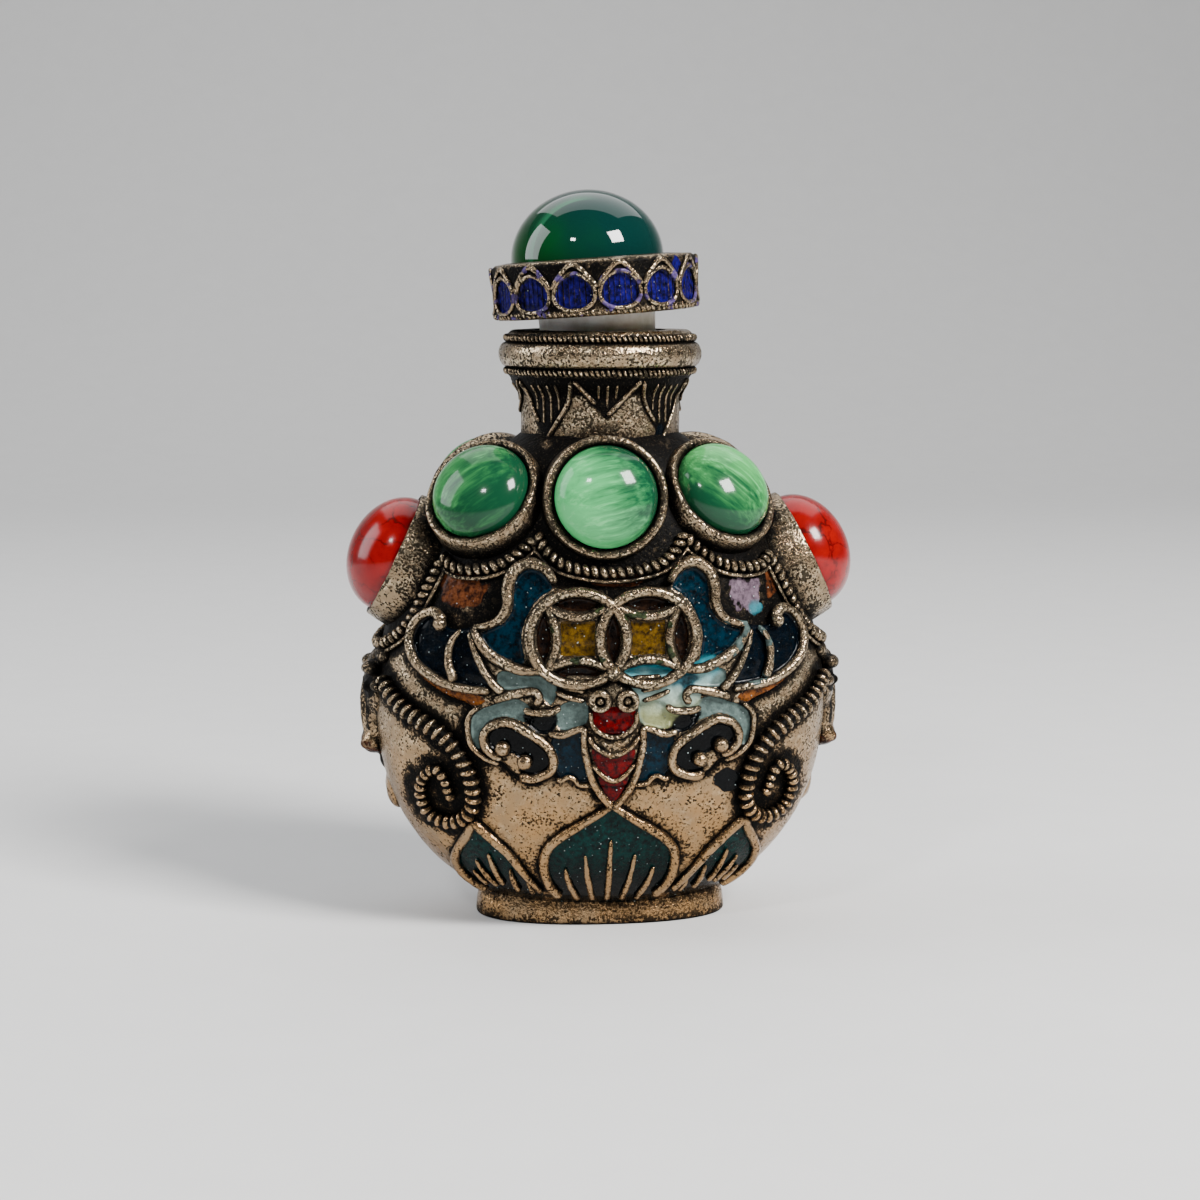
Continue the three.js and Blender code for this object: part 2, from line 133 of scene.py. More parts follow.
# Lift of the plate over the body, and how deep the enamel lies below it
RELIEF_LIFT, FIELD_DEPTH, SHALLOW_FIELD, LENS_DEPTH = 0.72, 0.3, 0.05, 0.62
# Distance between the plate's points
PLATE_PITCHES = {"front": 0.125, "back": 0.2}

# Enamel fields: colour, whether both sides have it, and an outline in x and height
FIELDS = [
    ("teal", True, [(5.2, 31.6), (6.1, 32.9), (7.3, 33.2), (8.2, 32.5), (8.5, 31.3), (8.6, 29.9),
        (9.4, 28.6), (10.8, 27.9), (11.4, 27.6), (11, 26.7), (10.2, 26), (9.1, 25.5), (7.7, 25.1),
        (7.9, 27.5), (7.2, 29.6), (6.1, 31)]),
    ("navy", True, [(12.3, 28), (13.2, 28), (14.4, 28.4), (15.4, 29), (16.3, 28.6), (17.1, 27.4),
        (17.2, 25.9), (16.4, 24.6), (14.9, 23.6), (13.1, 23.1), (10.8, 22.9), (10.5, 23.3), (11.4, 24.6),
        (12, 26.3)]),
    ("orange", True, [(17.5, 25), (16.7, 23.6), (14.8, 22.2), (12.2, 21.3), (11, 21.9), (13.2, 22.6),
        (15, 23.1), (16.6, 24.1)]),
    ("celadon", True, [(7, 21), (8.3, 22), (10.4, 21.4), (11.4, 21), (12.2, 20.2), (12.3, 18.8), (12, 17.7),
        (11.5, 17.4), (11.6, 18.6), (11, 19.7), (10.1, 20.3), (9.1, 20.4), (7.9, 20), (7, 19.9)]),
    ("celadon", True, [(10, 24.2), (9.2, 24.4), (7.8, 24.1), (6.2, 24), (4.9, 23.3), (5.3, 21.5), (6.2, 22.2),
        (6.7, 22.9), (8.7, 22.8), (9.8, 22.9)]),
    ("celadon", True, [(4.4, 21.6), (2.4, 21.8), (2.3, 20), (3.4, 19.5), (4.6, 19.3), (5, 20.4)]),
    ("black", True, [(4.9, 20.5), (6.9, 20.5), (7.8, 20.6), (7.3, 19.6), (6.2, 18.9), (5.2, 19.2)]),
    ("black", True, [(9.7, 17.1), (10.7, 17.8), (10.8, 18.8), (10.1, 19.4), (9, 19.5), (7.7, 18.8),
        (6.6, 18.1), (5.8, 17.3), (5.5, 16.4), (5.8, 15.6), (6.8, 15.2), (8, 15.4), (8, 16.6), (9, 17.2)]),
    ("teal", True, [(2.7, 19.2), (4.3, 18.9), (5.3, 18.7), (5.3, 17.6), (4.9, 16.6), (4.9, 15.1), (4.4, 15),
        (3.8, 15.1), (2.9, 14.6), (2.1, 14.7), (2.6, 16.4), (2.8, 18.2)]),
    ("red", False, [(-1.9, 21), (-1.8, 19.9), (-1.1, 19.2), (0, 18.9), (1.1, 19.2), (1.8, 19.9), (1.9, 21),
        (0, 21.4)]),
    ("red", False, [(-1.9, 17.7), (-1.2, 17.3), (0, 16.8), (1.2, 17.3), (1.9, 17.7), (1.7, 16.5), (0.9, 15.5),
        (0, 15), (-0.9, 15.5), (-1.7, 16.5)]),
    ("red", False, [(-1.3, 15.2), (0, 14.5), (1.3, 15.2), (0.8, 13.8), (0, 12.9), (-0.8, 13.8)]),
]
COIN_LENS = {"at": 2.95, "half_width": 0.62, "half_height": 2.1}
COIN_SQUARE = 1.5

# Spilt enamel on the front's ground: colour, outline, how ragged and dotted, edge blur and strength
PATCHES = [
    ("rust", [(-15.2, 32.6), (-11.4, 32.8), (-10.8, 31.2), (-12.2, 29.6), (-14.4, 29.6)], 0.9, 0, 0.7, 0.9),
    ("rust", [(13.9, 33.2), (15.4, 32.8), (15.3, 30.6), (14.2, 30)], 0.5, 0, 0.4, 0.8),
    ("lilac", [(10.2, 32.2), (13.5, 32.1), (13.6, 29.9), (12.6, 28.9), (11.2, 29.2)], 0.5, 0.9, 0.25, 0.85),
]
# Oval blots of it: colour, middle, half sizes, how ragged and strength
BLOTS = [
    ("rust", (0.6, 32.2), (2.5, 0.7), 0.3, 0.9),
    ("turquoise", (13.2, 29.3), (0.8, 0.6), 0.5, 0.9),
    ("black", (10.3, 14.2), (1.35, 1.1), 0.4, 1.0),
]
# The pale spill beside the bat's head, its tones by height from the top and a deep blue blot in it
SPILL = [(0.9, 24.6), (2.4, 24.9), (5.6, 24.9), (8.9, 25.6), (9.6, 24.2), (8, 22.6), (7.4, 21.2), (6, 20.8),
    (4.8, 19.2), (2.6, 19.4), (2.3, 21.4)]
SPILL_TONES = [((0.02, 0.20, 0.25), 24.6), ((0.22, 0.42, 0.43), 23.6), ((0.30, 0.42, 0.38), 22.4),
    ((0.27, 0.29, 0.13), 20.4)]
SPILL_BLOT = {"middle": (6.4, 23.6), "half": (1.0, 1.3), "tone": (0.0, 0.05, 0.08)}

# Rope swags under the stones by turn from the front, in degrees, and height
CENTRE_SWAG = [(0, 32.9), (11, 33.5), (17, 34.6), (21, 35.9)]
STONE_SWAG = [(23, 35.5), (28, 34.1), (34, 33.3), (41, 33), (49, 33.1), (56, 33.8)]
SIDE_SWAG = [(57, 33.2), (58, 31.4), (59.5, 29.6), (62, 28), (67, 26.8), (76, 25.8), (90, 25.4)]
BEAD_PITCH = 0.78
ROPE_LIFT = 0.4

HORN = [(20, 22.6), (19.2, 21.5), (18.2, 20.5), (16.6, 19.5), (15, 18.5), (13.6, 17.2), (12.7, 15.6),
    (12.2, 13.8), (12.2, 12), (13.1, 10.7), (14.5, 10.3), (16, 11), (16.7, 12.8), (16.4, 14.4),
    (15.4, 15.2), (14.6, 14.3), (14.3, 13.3), (14, 12.6)]
HORN_WIDTHS = [0.7, 0.84, 0.84, 0.82, 0.78, 0.72, 0.66, 0.6, 0.54, 0.46]
HORN_LIFT = 0.4
RIB_PITCH = 0.82

# The rams' heads: centre and half sizes of each swelling, for the right side and the front half
RAM = [((20.0, 0, 21.4), (1.7, 3.3, 3.6)), ((20.3, 0, 18.4), (1.4, 1.9, 3.4)),
    ((20.9, 0, 19.4), (1.15, 0.85, 4.0)), ((20.8, 0, 16.3), (1.2, 1.75, 1.25)),
    ((21.3, -0.85, 16.1), (0.75, 0.6, 0.6)), ((20.8, -2.1, 23.3), (1.1, 1.5, 0.7)),
    ((21.0, -1.95, 21.6), (0.85, 0.7, 0.6)), ((20.4, -3.9, 21.9), (0.7, 1.3, 0.55)),
    ((19.6, -2.9, 24.6), (1.0, 1.6, 0.9)), ((19.4, 0, 14.6), (0.9, 1.2, 1.2)),
    ((18.6, 0, 12.4), (1.2, 1.9, 2.5))]
RAM_EYE = {"y": 1.95, "z": 21.6, "socket": 0.75}
RAM_NOSE = {"half_width": 1.15, "bottom": 17.4, "top": 22.4}
RAM_MUZZLE = {"z": 16.1, "half_width": 1.9, "half_height": 1.3}

# Lotus petals by turn from the front and height: one side of the middle rim, then a whole side petal
PETAL_RIM = [(0, 12.3), (3, 11.3), (7.7, 10.2), (13, 9), (16.8, 7.7), (18.9, 6), (19.6, 4.3), (18, 2.9)]
SIDE_PETAL_RIM = [(24.5, 3.4), (26.5, 5.3), (28.6, 7.1), (31.6, 8.5), (35.2, 9.7), (37.6, 10.3), (41, 9.3),
    (46.5, 8.1), (53, 6.9), (58.5, 5.6), (61, 4.3), (60, 3)]
PETAL_RIBS = [[(0, 8.9), (0, 2.6)], [(5.8, 7.5), (5.6, 5), (4.9, 2.6)], [(12, 6.1), (12, 4.4), (10.9, 2.6)]]
SIDE_PETAL_RIBS = [[(31.2, 5.9), (33.4, 4.6), (35.4, 3.4)], [(36.6, 7.4), (38.4, 5.6), (40.1, 4)],
    [(43.9, 6.6), (44.5, 5.2), (44.7, 3.8)], [(27, 4.7), (29.1, 3.2)], [(50, 5.4), (49.6, 3.9)]]
PETAL_WIDTH, RIB_WIDTH = 0.46, 0.3

NECK_PETALS, COLLAR_BEADS = 8, 112
LID_CELLS, LID_BEADS, LID_STEPS = 14, 104, 700
LID_CELL_START = 0.36
LID_RIB_PITCH = 0.52
LID_CELL = [(0, 0.62), (-0.95, 0.78), (-1.6, 1.3), (-1.78, 2.05), (-1.5, 2.85), (-0.9, 3.45), (0, 3.8),
    (0.9, 3.45), (1.5, 2.85), (1.78, 2.05), (1.6, 1.3), (0.95, 0.78)]

# Tones that the finishes mix in, as linear red, green and blue
DEEP_GLAZE = (0.001, 0.0015, 0.002)
# White of the painted glints in the enamel
PAINTED_GLINT_WHITE = (0.45, 0.55, 0.55)
RED_SHADE = (0.15, 0.0003, 0.0007)
RED_VEIN = (0.03, 0.002, 0.002)
LID_GLINT = (0.03, 0.20, 0.09)
PLUG_STAINED, PLUG_CLEAN = (0.62, 0.55, 0.46), (0.78, 0.73, 0.66)
FLOOR_DULL, FLOOR_PALE = (0.62, 0.62, 0.62), (0.66, 0.66, 0.66)


# Form of the body
def body_half(z, inset=0.0):
    """Half width and half depth of the body at each height, with both cut back by inset."""
    z = np.asarray(z, float)
    down = np.clip((BELLY_Z - z) / (LOWER_REACH - inset), 0, 1)
    up = np.clip((z - BELLY_Z) / (UPPER_REACH - inset), 0, 1)
    shrink = (1 - down**LOWER_POWER) ** (1 / LOWER_POWER)
    narrow = (1 - up**UPPER_WIDTH_POWER) ** (1 / UPPER_WIDTH_POWER)
    thin = (1 - up**UPPER_DEPTH_POWER) ** (1 / UPPER_DEPTH_POWER)
    low = z < BELLY_Z
    half_width = (BELLY_HALF_WIDTH - inset) * np.where(low, shrink, narrow)
    return half_width, (BELLY_HALF_DEPTH - inset) * np.where(low, shrink, thin)


def around(turn, z, lift=0.0, inset=0.0):
    """Points on the body by turn from the front, in degrees, and height."""
    half_width, half_depth = body_half(z, inset)
    s, c = np.sin(np.radians(turn)), np.cos(np.radians(turn))
    power = 2 / SECTION_POWER
    x = (half_width + lift) * np.sign(s) * np.abs(s) ** power
    y = -(half_depth + lift) * np.sign(c) * np.abs(c) ** power
    return np.stack(np.broadcast_arrays(x, y, z), axis=-1)


def facing(x, z, lift=0.0):
    """Points on the front of the body, seen at x and height z."""
    half_width, half_depth = body_half(z)
    across = np.clip(np.abs(x) / (half_width + lift), 0, 1)
    y = -(half_depth + lift) * (1 - across**SECTION_POWER) ** (1 / SECTION_POWER)
    return np.stack(np.broadcast_arrays(x, y, z), axis=-1)


def seen_at(turn, z):
    """The x at which a turn on the body's front is seen."""
    return around(np.asarray(turn, float), np.asarray(z, float))[..., 0]


# Lines and outlines
def step(low, high, value):
    """0 below low, 1 above high and a smooth rise between."""
    t = np.clip((value - low) / (high - low), 0, 1)
    return t * t * (3 - 2 * t)


def smooth(points, spacing=0.2, closed=False):
    """A smooth line through the given points, cut into even steps."""
    p = np.asarray(points, float)
    if closed:
        held = np.vstack([p[-1], p, p[0], p[1]])
    else:
        held = np.vstack([2 * p[0] - p[1], p, 2 * p[-1] - p[-2]])
    t = np.linspace(0, 1, 12, endpoint=False)[:, None]
    parts = []
    for a, b, c, d in zip(held[:-3], held[1:-2], held[2:-1], held[3:]):
        bend, twist = 2 * a - 5 * b + 4 * c - d, 3 * b - a - 3 * c + d
        parts.append(0.5 * (2 * b + (c - a) * t + bend * t**2 + twist * t**3))
    line = np.vstack(parts + [held[-2:-1]])
    along = travelled(line)
    at = np.linspace(0, along[-1], max(4, round(along[-1] / spacing) + 1))
    even = np.stack([np.interp(at, along, line[:, i]) for i in range(line.shape[1])], axis=1)
    return even[:-1] if closed else even


def travelled(line):
    """Length from a line's start to each of its points."""
    return np.r_[0, np.cumsum(np.linalg.norm(np.diff(line, axis=0), axis=1))]


def both_sides(half):
    """A whole outline from one side of it that starts and ends on the middle line."""
    return list(half) + [(-x, z) for x, z in half[-2:0:-1]]


def outline_distance(x, z, outline):
    """Distance from each point to a closed outline, negative inside it."""
    corners = np.asarray(outline, float)
    nearest = np.full(x.shape, np.inf)
    inside = np.zeros(x.shape, bool)
    for (ax, az), (bx, bz) in zip(corners, np.roll(corners, -1, axis=0)):
        nearest = np.minimum(nearest, edge_distance(x, z, ax, az, bx, bz))
        crosses = (az > z) != (bz > z)
        inside ^= crosses & (x < (bx - ax) * (z - az) / (bz - az if bz != az else 1) + ax)
    return np.where(inside, -nearest, nearest)


def edge_distance(x, z, ax, az, bx, bz):
    run, rise = bx - ax, bz - az
    t = np.clip(((x - ax) * run + (z - az) * rise) / max(run * run + rise * rise, 1e-9), 0, 1)
    return np.hypot(x - ax - t * run, z - az - t * rise)


def line_distance(x, z, line):
    """Distance from each point to an open line."""
    nearest = np.full(x.shape, np.inf)
    for (ax, az), (bx, bz) in zip(line[:-1], line[1:]):
        nearest = np.minimum(nearest, edge_distance(x, z, ax, az, bx, bz))
    return nearest


def wander(points, size, seed=0.0):
    """Smooth noise from -1 to 1 at points in millimetres, with lumps of the given size."""
    shift = Vector((seed, -seed, 2 * seed))
    return np.array([noise.noise(Vector(p) / size + shift) for p in points])


# Meshes
def mesh_of(bm, name):
    mesh = bpy.data.meshes.new(name)
    bm.to_mesh(mesh)
    bm.free()
    return mesh


def points_of(mesh):
    """The mesh's points in millimetres."""
    co = np.empty(len(mesh.vertices) * 3, np.float32)
    mesh.vertices.foreach_get("co", co)
    return co.reshape(-1, 3).astype(float) / MM


def move_points(mesh, points):
    mesh.vertices.foreach_set("co", (points * MM).astype(np.float32).ravel())
    mesh.update()


def normals_of(mesh):
    normals = np.empty(len(mesh.vertices) * 3, np.float32)
    mesh.vertices.foreach_get("normal", normals)
    return normals.reshape(-1, 3).astype(float)


def roughen(mesh, amount, size):
    """Moves each point a little along its normal, as a worn casting is uneven."""
    points = points_of(mesh)
    move_points(mesh, points + normals_of(mesh) * (amount * wander(points, size))[:, None])


def applied(mesh, *modifiers):
    """The mesh after modifiers, each given as a type and its settings."""
    piece = bpy.data.objects.new("worked", mesh)
    bpy.context.collection.objects.link(piece)
    for kind, settings in modifiers:
        modifier = piece.modifiers.new(kind.lower(), kind)
        for key, value in settings.items():
            setattr(modifier, key, value)
    made = bpy.data.meshes.new_from_object(piece.evaluated_get(bpy.context.evaluated_depsgraph_get()))
    bpy.data.objects.remove(piece)
    return made


def cut_away(mesh, cutters):
    """The mesh without the room that the closed cutter meshes take."""
    pieces = []
    for cutter in cutters:
        piece = bpy.data.objects.new("cutter", cutter)
        bpy.context.collection.objects.link(piece)
        pieces.append(piece)
    cuts = [("BOOLEAN", {"operation": "DIFFERENCE", "solver": "MANIFOLD", "object": piece})
        for piece in pieces]
    made = applied(mesh, *cuts)
    for piece in pieces:
        bpy.data.objects.remove(piece)
    return made


def rolled(columns, rows, place):
    """A grid rolled into a closed skin with capped ends; place turns shares across and up into points."""
    bm = bmesh.new()
    bmesh.ops.create_grid(bm, x_segments=columns, y_segments=rows, size=1)
    mesh = mesh_of(bm, "rolled")
    share = points_of(mesh)[:, :2] * MM / 2 + 0.5
    move_points(mesh, place(share[:, 0], share[:, 1]))
    bm = bmesh.new()
    bm.from_mesh(mesh)
    bmesh.ops.remove_doubles(bm, verts=bm.verts, dist=1e-3 * MM)
    bmesh.ops.holes_fill(bm, edges=[e for e in bm.edges if e.is_boundary], sides=0)
    bmesh.ops.recalc_face_normals(bm, faces=bm.faces)
    return mesh_of(bm, "rolled")


def lathe(profile, steps, closed=False):
    """A turned solid from a profile of radius and height that ends on the axis or closes on itself."""
    bm = bmesh.new()
    verts = [bm.verts.new((radius * MM, 0, z * MM)) for radius, z in profile]
    pairs = list(zip(verts, verts[1:]))
    if closed:
        pairs.append((verts[-1], verts[0]))
    edges = [bm.edges.new(pair) for pair in pairs]
    bmesh.ops.spin(bm, geom=verts + edges, cent=(0, 0, 0), axis=(0, 0, 1), angle=math.tau, steps=steps,
        use_merge=True)
    bmesh.ops.remove_doubles(bm, verts=bm.verts, dist=1e-4 * MM)
    bmesh.ops.recalc_face_normals(bm, faces=bm.faces)
    return mesh_of(bm, "turned")


def eased(profile, radius, closed=False, steps=4):
    """A profile with its corners rounded."""
    points = [np.asarray(p, float) for p in profile]
    result = []
    for i, corner in enumerate(points):
        if not closed and i in (0, len(points) - 1):
            result.append(tuple(corner))
            continue
        before, after = points[i - 1] - corner, points[(i + 1) % len(points)] - corner
        reach = min(radius, 0.45 * np.linalg.norm(before), 0.45 * np.linalg.norm(after))
        a = corner + before / np.linalg.norm(before) * reach
        b = corner + after / np.linalg.norm(after) * reach
        for t in np.linspace(0, 1, steps):
            result.append(tuple((1 - t) ** 2 * a + 2 * t * (1 - t) * corner + t * t * b))
    return result


def wire(points, widths, closed=False):
    """A run for tubes(): the points in space, a half width at each and whether it closes on itself."""
    along = travelled(points)
    share = along / along[-1]
    radii = np.interp(share, np.linspace(0, 1, len(widths)), widths)
    if not closed:
        from_end = np.clip(np.minimum(along, along[-1] - along) / radii, 0, 1)
        radii = radii * np.maximum(np.sqrt(1 - (1 - from_end) ** 2), 0.1)
    return points, radii, closed


def tubes(runs, sides=2):
    """One mesh of closed round wires."""
    curve = bpy.data.curves.new("wires", "CURVE")
    curve.dimensions = "3D"
    curve.bevel_depth = MM
    curve.bevel_resolution = sides
    curve.use_fill_caps = True
    for points, radii, closed in runs:
        spline = curve.splines.new("POLY")
        spline.points.add(len(points) - 1)
        spline.points.foreach_set("co", np.c_[points * MM, np.ones(len(points))].ravel())
        spline.points.foreach_set("radius", np.asarray(radii, float))
        spline.use_cyclic_u = closed
    drawn = bpy.data.objects.new("wires", curve)
    bpy.context.collection.objects.link(drawn)
    mesh = bpy.data.meshes.new_from_object(drawn.evaluated_get(bpy.context.evaluated_depsgraph_get()))
    bpy.data.objects.remove(drawn)
    bm = bmesh.new()
    bm.from_mesh(mesh)
    bmesh.ops.remove_doubles(bm, verts=bm.verts, dist=1e-4 * MM)
    bmesh.ops.recalc_face_normals(bm, faces=bm.faces)
    return mesh_of(bm, "wires")


def beads(places, rounds=2):
    """One mesh of small rounded beads; a place is a matrix in millimetres that shapes a unit ball."""
    bm = bmesh.new()
    for place in places:
        bmesh.ops.create_icosphere(bm, subdivisions=rounds, radius=1, matrix=Matrix.Scale(MM, 4) @ place)
    return mesh_of(bm, "beads")


def frame_at(point, forward, outward, sizes, slant=0.0):
    """A matrix at a point, its X along forward and its Z outward, scaled to sizes and turned by slant."""
    x = Vector(forward).normalized()
    z = (Vector(outward) - x * Vector(outward).dot(x)).normalized()
    y = z.cross(x)
    turn = Matrix((x, y, z)).transposed().to_4x4()
    return Matrix.Translation(point) @ turn @ Matrix.Rotation(slant, 4, "Z") @ Matrix.Diagonal((*sizes, 1))


def beads_round(count, radius, height, sizes):
    """Places for a ring of slanted beads round the axis."""
    places = []
    for i in range(count):
        angle = math.tau * i / count
        outward = Vector((math.sin(angle), -math.cos(angle), 0))
        along = Vector((math.cos(angle), math.sin(angle), 0))
        spot = outward * radius + Vector((0, 0, height))
        places.append(frame_at(spot, along, outward, sizes, 0.5))
    return places


def joined(*meshes):
    bm = bmesh.new()
    for mesh in meshes:
        bm.from_mesh(mesh)
    return mesh_of(bm, "joined")


def front_and_back(mesh):
    behind = mesh.copy()
    behind.transform(Matrix.Rotation(math.pi, 4, "Z"))
    return joined(mesh, behind)


def outward_at(points):
    """Which way the body's surface faces near points in millimetres."""
    half_width, half_depth = body_half(np.clip(points[:, 2], 2, 44))
    above, _ = body_half(np.clip(points[:, 2] + 0.3, 2, 44.3))
    x = np.sign(points[:, 0]) * np.abs(points[:, 0] / half_width) ** (SECTION_POWER - 1) / half_width
    y = np.sign(points[:, 1]) * np.abs(points[:, 1] / half_depth) ** (SECTION_POWER - 1) / half_depth
    flat = np.stack([x, y], axis=1)
    flat /= np.linalg.norm(flat, axis=1)[:, None]
    rise = (half_width - above) / 0.3 * 0.6
    return np.c_[flat, rise]


# Enamel and soot
class Paint:
    """Enamel and soot on a mesh's points, found by where each point is seen from the front."""

    def __init__(self, mesh, across, up):
        self.mesh = mesh
        self.x, self.z = across, up
        self.colour = np.zeros((len(across), 3))
        self.mask = np.zeros(len(across))
        self.soot = np.zeros(len(across))

    def fill(self, distance, colour, edge=0.1, strength=1.0):
        """Lays a colour where the distance is negative and returns how much of it lies at each point."""
        amount = strength * (1 - step(-edge, edge, distance))
        share = amount[:, None]
        self.colour = self.colour * (1 - share) + np.asarray(colour)[None, :] * share
        self.mask = np.maximum(self.mask, amount)
        return amount

    def wipe(self, amount):
        self.mask = self.mask * (1 - amount)

    def darken(self, distance, reach, strength=1.0):
        self.soot = np.maximum(self.soot, strength * (1 - step(0, reach, distance)))

    def save(self):
        lay_attribute(self.mesh, "enamel", "FLOAT_COLOR", np.c_[self.colour, np.ones(len(self.mask))])
        lay_attribute(self.mesh, "enamel_amount", "FLOAT", self.mask)
        lay_attribute(self.mesh, "soot", "FLOAT", self.soot)


def lay_attribute(mesh, name, kind, values):
    attribute = mesh.attributes.get(name) or mesh.attributes.new(name, kind, "POINT")
    field = {"FLOAT_COLOR": "color", "FLOAT_VECTOR": "vector", "FLOAT": "value"}[kind]
    attribute.data.foreach_set(field, np.ascontiguousarray(values, np.float32).ravel())


def bare(mesh):
    """Plain metal all over, with no enamel and no soot of its own."""
    count = len(mesh.vertices)
    Paint(mesh, np.zeros(count), np.zeros(count)).save()
    return mesh


# Pieces
def add_piece(name, mesh, material, replaced=(), sharp=None):
    """Links a finished mesh as a piece that rides on the bottle."""
    mesh.name = name
    mesh.materials.clear()
    mesh.materials.append(material)
    mesh.polygons.foreach_set("use_smooth", np.ones(len(mesh.polygons), bool))
    if sharp:
        mesh.set_sharp_from_angle(angle=math.radians(sharp))
    piece = bpy.data.objects.new(name, mesh)
    bpy.context.collection.objects.link(piece)
    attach(piece, "root")
    if replaced:
        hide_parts(*replaced)
    return piece


# Shader building
class Value:
    """A number in a material that takes Python's operators, each of which adds a Math node."""

    def __init__(self, shader, socket):
        self.shader, self.socket = shader, socket

    def _math(self, operation, *numbers, clamp=False):
        node = self.shader.node("ShaderNodeMath", {"operation": operation, "use_clamp": clamp},
            dict(enumerate(numbers)))
        return Value(self.shader, node.outputs[0])

    def __add__(self, other):
        return self._math("ADD", self, other)

    __radd__ = __add__

    def __sub__(self, other):
        return self._math("SUBTRACT", self, other)

    def __rsub__(self, other):
        return self._math("SUBTRACT", other, self)

    def __mul__(self, other):
        return self._math("MULTIPLY", self, other)

    def __pow__(self, other):
        return self._math("POWER", self, other)

    def clamped(self):
        return self._math("ADD", self, 0.0, clamp=True)

    def most(self, other):
        return self._math("MAXIMUM", self, other)

    def rise(self, low, high):
        """0 below low, 1 above high and a smooth rise between."""
        node = self.shader.node("ShaderNodeMapRange", {"interpolation_type": "SMOOTHSTEP"},
            {"Value": self, "From Min": low, "From Max": high})
        return Value(self.shader, node.outputs[0])


class Shader:
    """A material being built around one Principled BSDF."""

    def __init__(self, name):
        self.material = bpy.data.materials.new(name)
        self.material.use_nodes = True
        self.tree = self.material.node_tree
        self.bsdf = next(n for n in self.tree.nodes if n.type == "BSDF_PRINCIPLED")

    def node(self, kind, settings=None, values=None):
        """A node with its settings set first, then its inputs as numbers, colours or links."""
        node = self.tree.nodes.new(kind)
        for key, setting in (settings or {}).items():
            setattr(node, key, setting)
        for key, value in (values or {}).items():
            self.put(node.inputs[key], value)
        return node

    def put(self, target, value):
        if isinstance(value, Value):
            value = value.socket
        if isinstance(value, bpy.types.NodeSocket):
            self.tree.links.new(value, target)
        else:
            target.default_value = value

    def place(self):
        return self.node("ShaderNodeTexCoord").outputs["Object"]

    def number(self, attribute):
        return Value(self, self.node("ShaderNodeAttribute", {"attribute_name": attribute}).outputs["Fac"])

    def colour_of(self, attribute):
        return self.node("ShaderNodeAttribute", {"attribute_name": attribute}).outputs["Color"]

    def vector_of(self, attribute):
        return self.node("ShaderNodeAttribute", {"attribute_name": attribute}).outputs["Vector"]

    def part(self, vector, axis):
        return Value(self, self.node("ShaderNodeSeparateXYZ", {}, {0: vector}).outputs[axis])

    def grain(self, vector, size, detail=2.0, roughness=0.5, warp=0.0):
        """Noise from 0 to 1 whose lumps have the given size in the vector's own unit."""
        node = self.node("ShaderNodeTexNoise", {}, {"Vector": vector, "Scale": 1 / size, "Detail": detail,
            "Roughness": roughness, "Distortion": warp})
        return Value(self, node.outputs["Fac"])

    def cells(self, vector, size, feature="F1"):
        node = self.node("ShaderNodeTexVoronoi", {"feature": feature}, {"Vector": vector, "Scale": 1 / size})
        return Value(self, node.outputs["Distance"])

    def mix(self, amount, a, b):
        """A colour between a and b."""
        node = self.node("ShaderNodeMix", {"data_type": "RGBA"}, {0: amount, 6: rgba(a), 7: rgba(b)})
        return node.outputs[2]

    def enclosed(self, distance):
        """How shut in the surface is by what stands around it, from 0 to 1."""
        node = self.node("ShaderNodeAmbientOcclusion", {"samples": 4}, {"Distance": distance * MM})
        return 1 - Value(self, node.outputs["AO"])

    def bump(self, height, strength, distance):
        node = self.node("ShaderNodeBump", {},
            {"Height": height, "Strength": strength, "Distance": distance * MM})
        return node.outputs["Normal"]

    def set(self, **values):
        for key, value in values.items():
            self.put(self.bsdf.inputs[key.replace("_", " ").title().replace("Ior", "IOR")], value)


def rgba(colour):
    if isinstance(colour, bpy.types.NodeSocket):
        return colour
    return (*colour, 1.0)


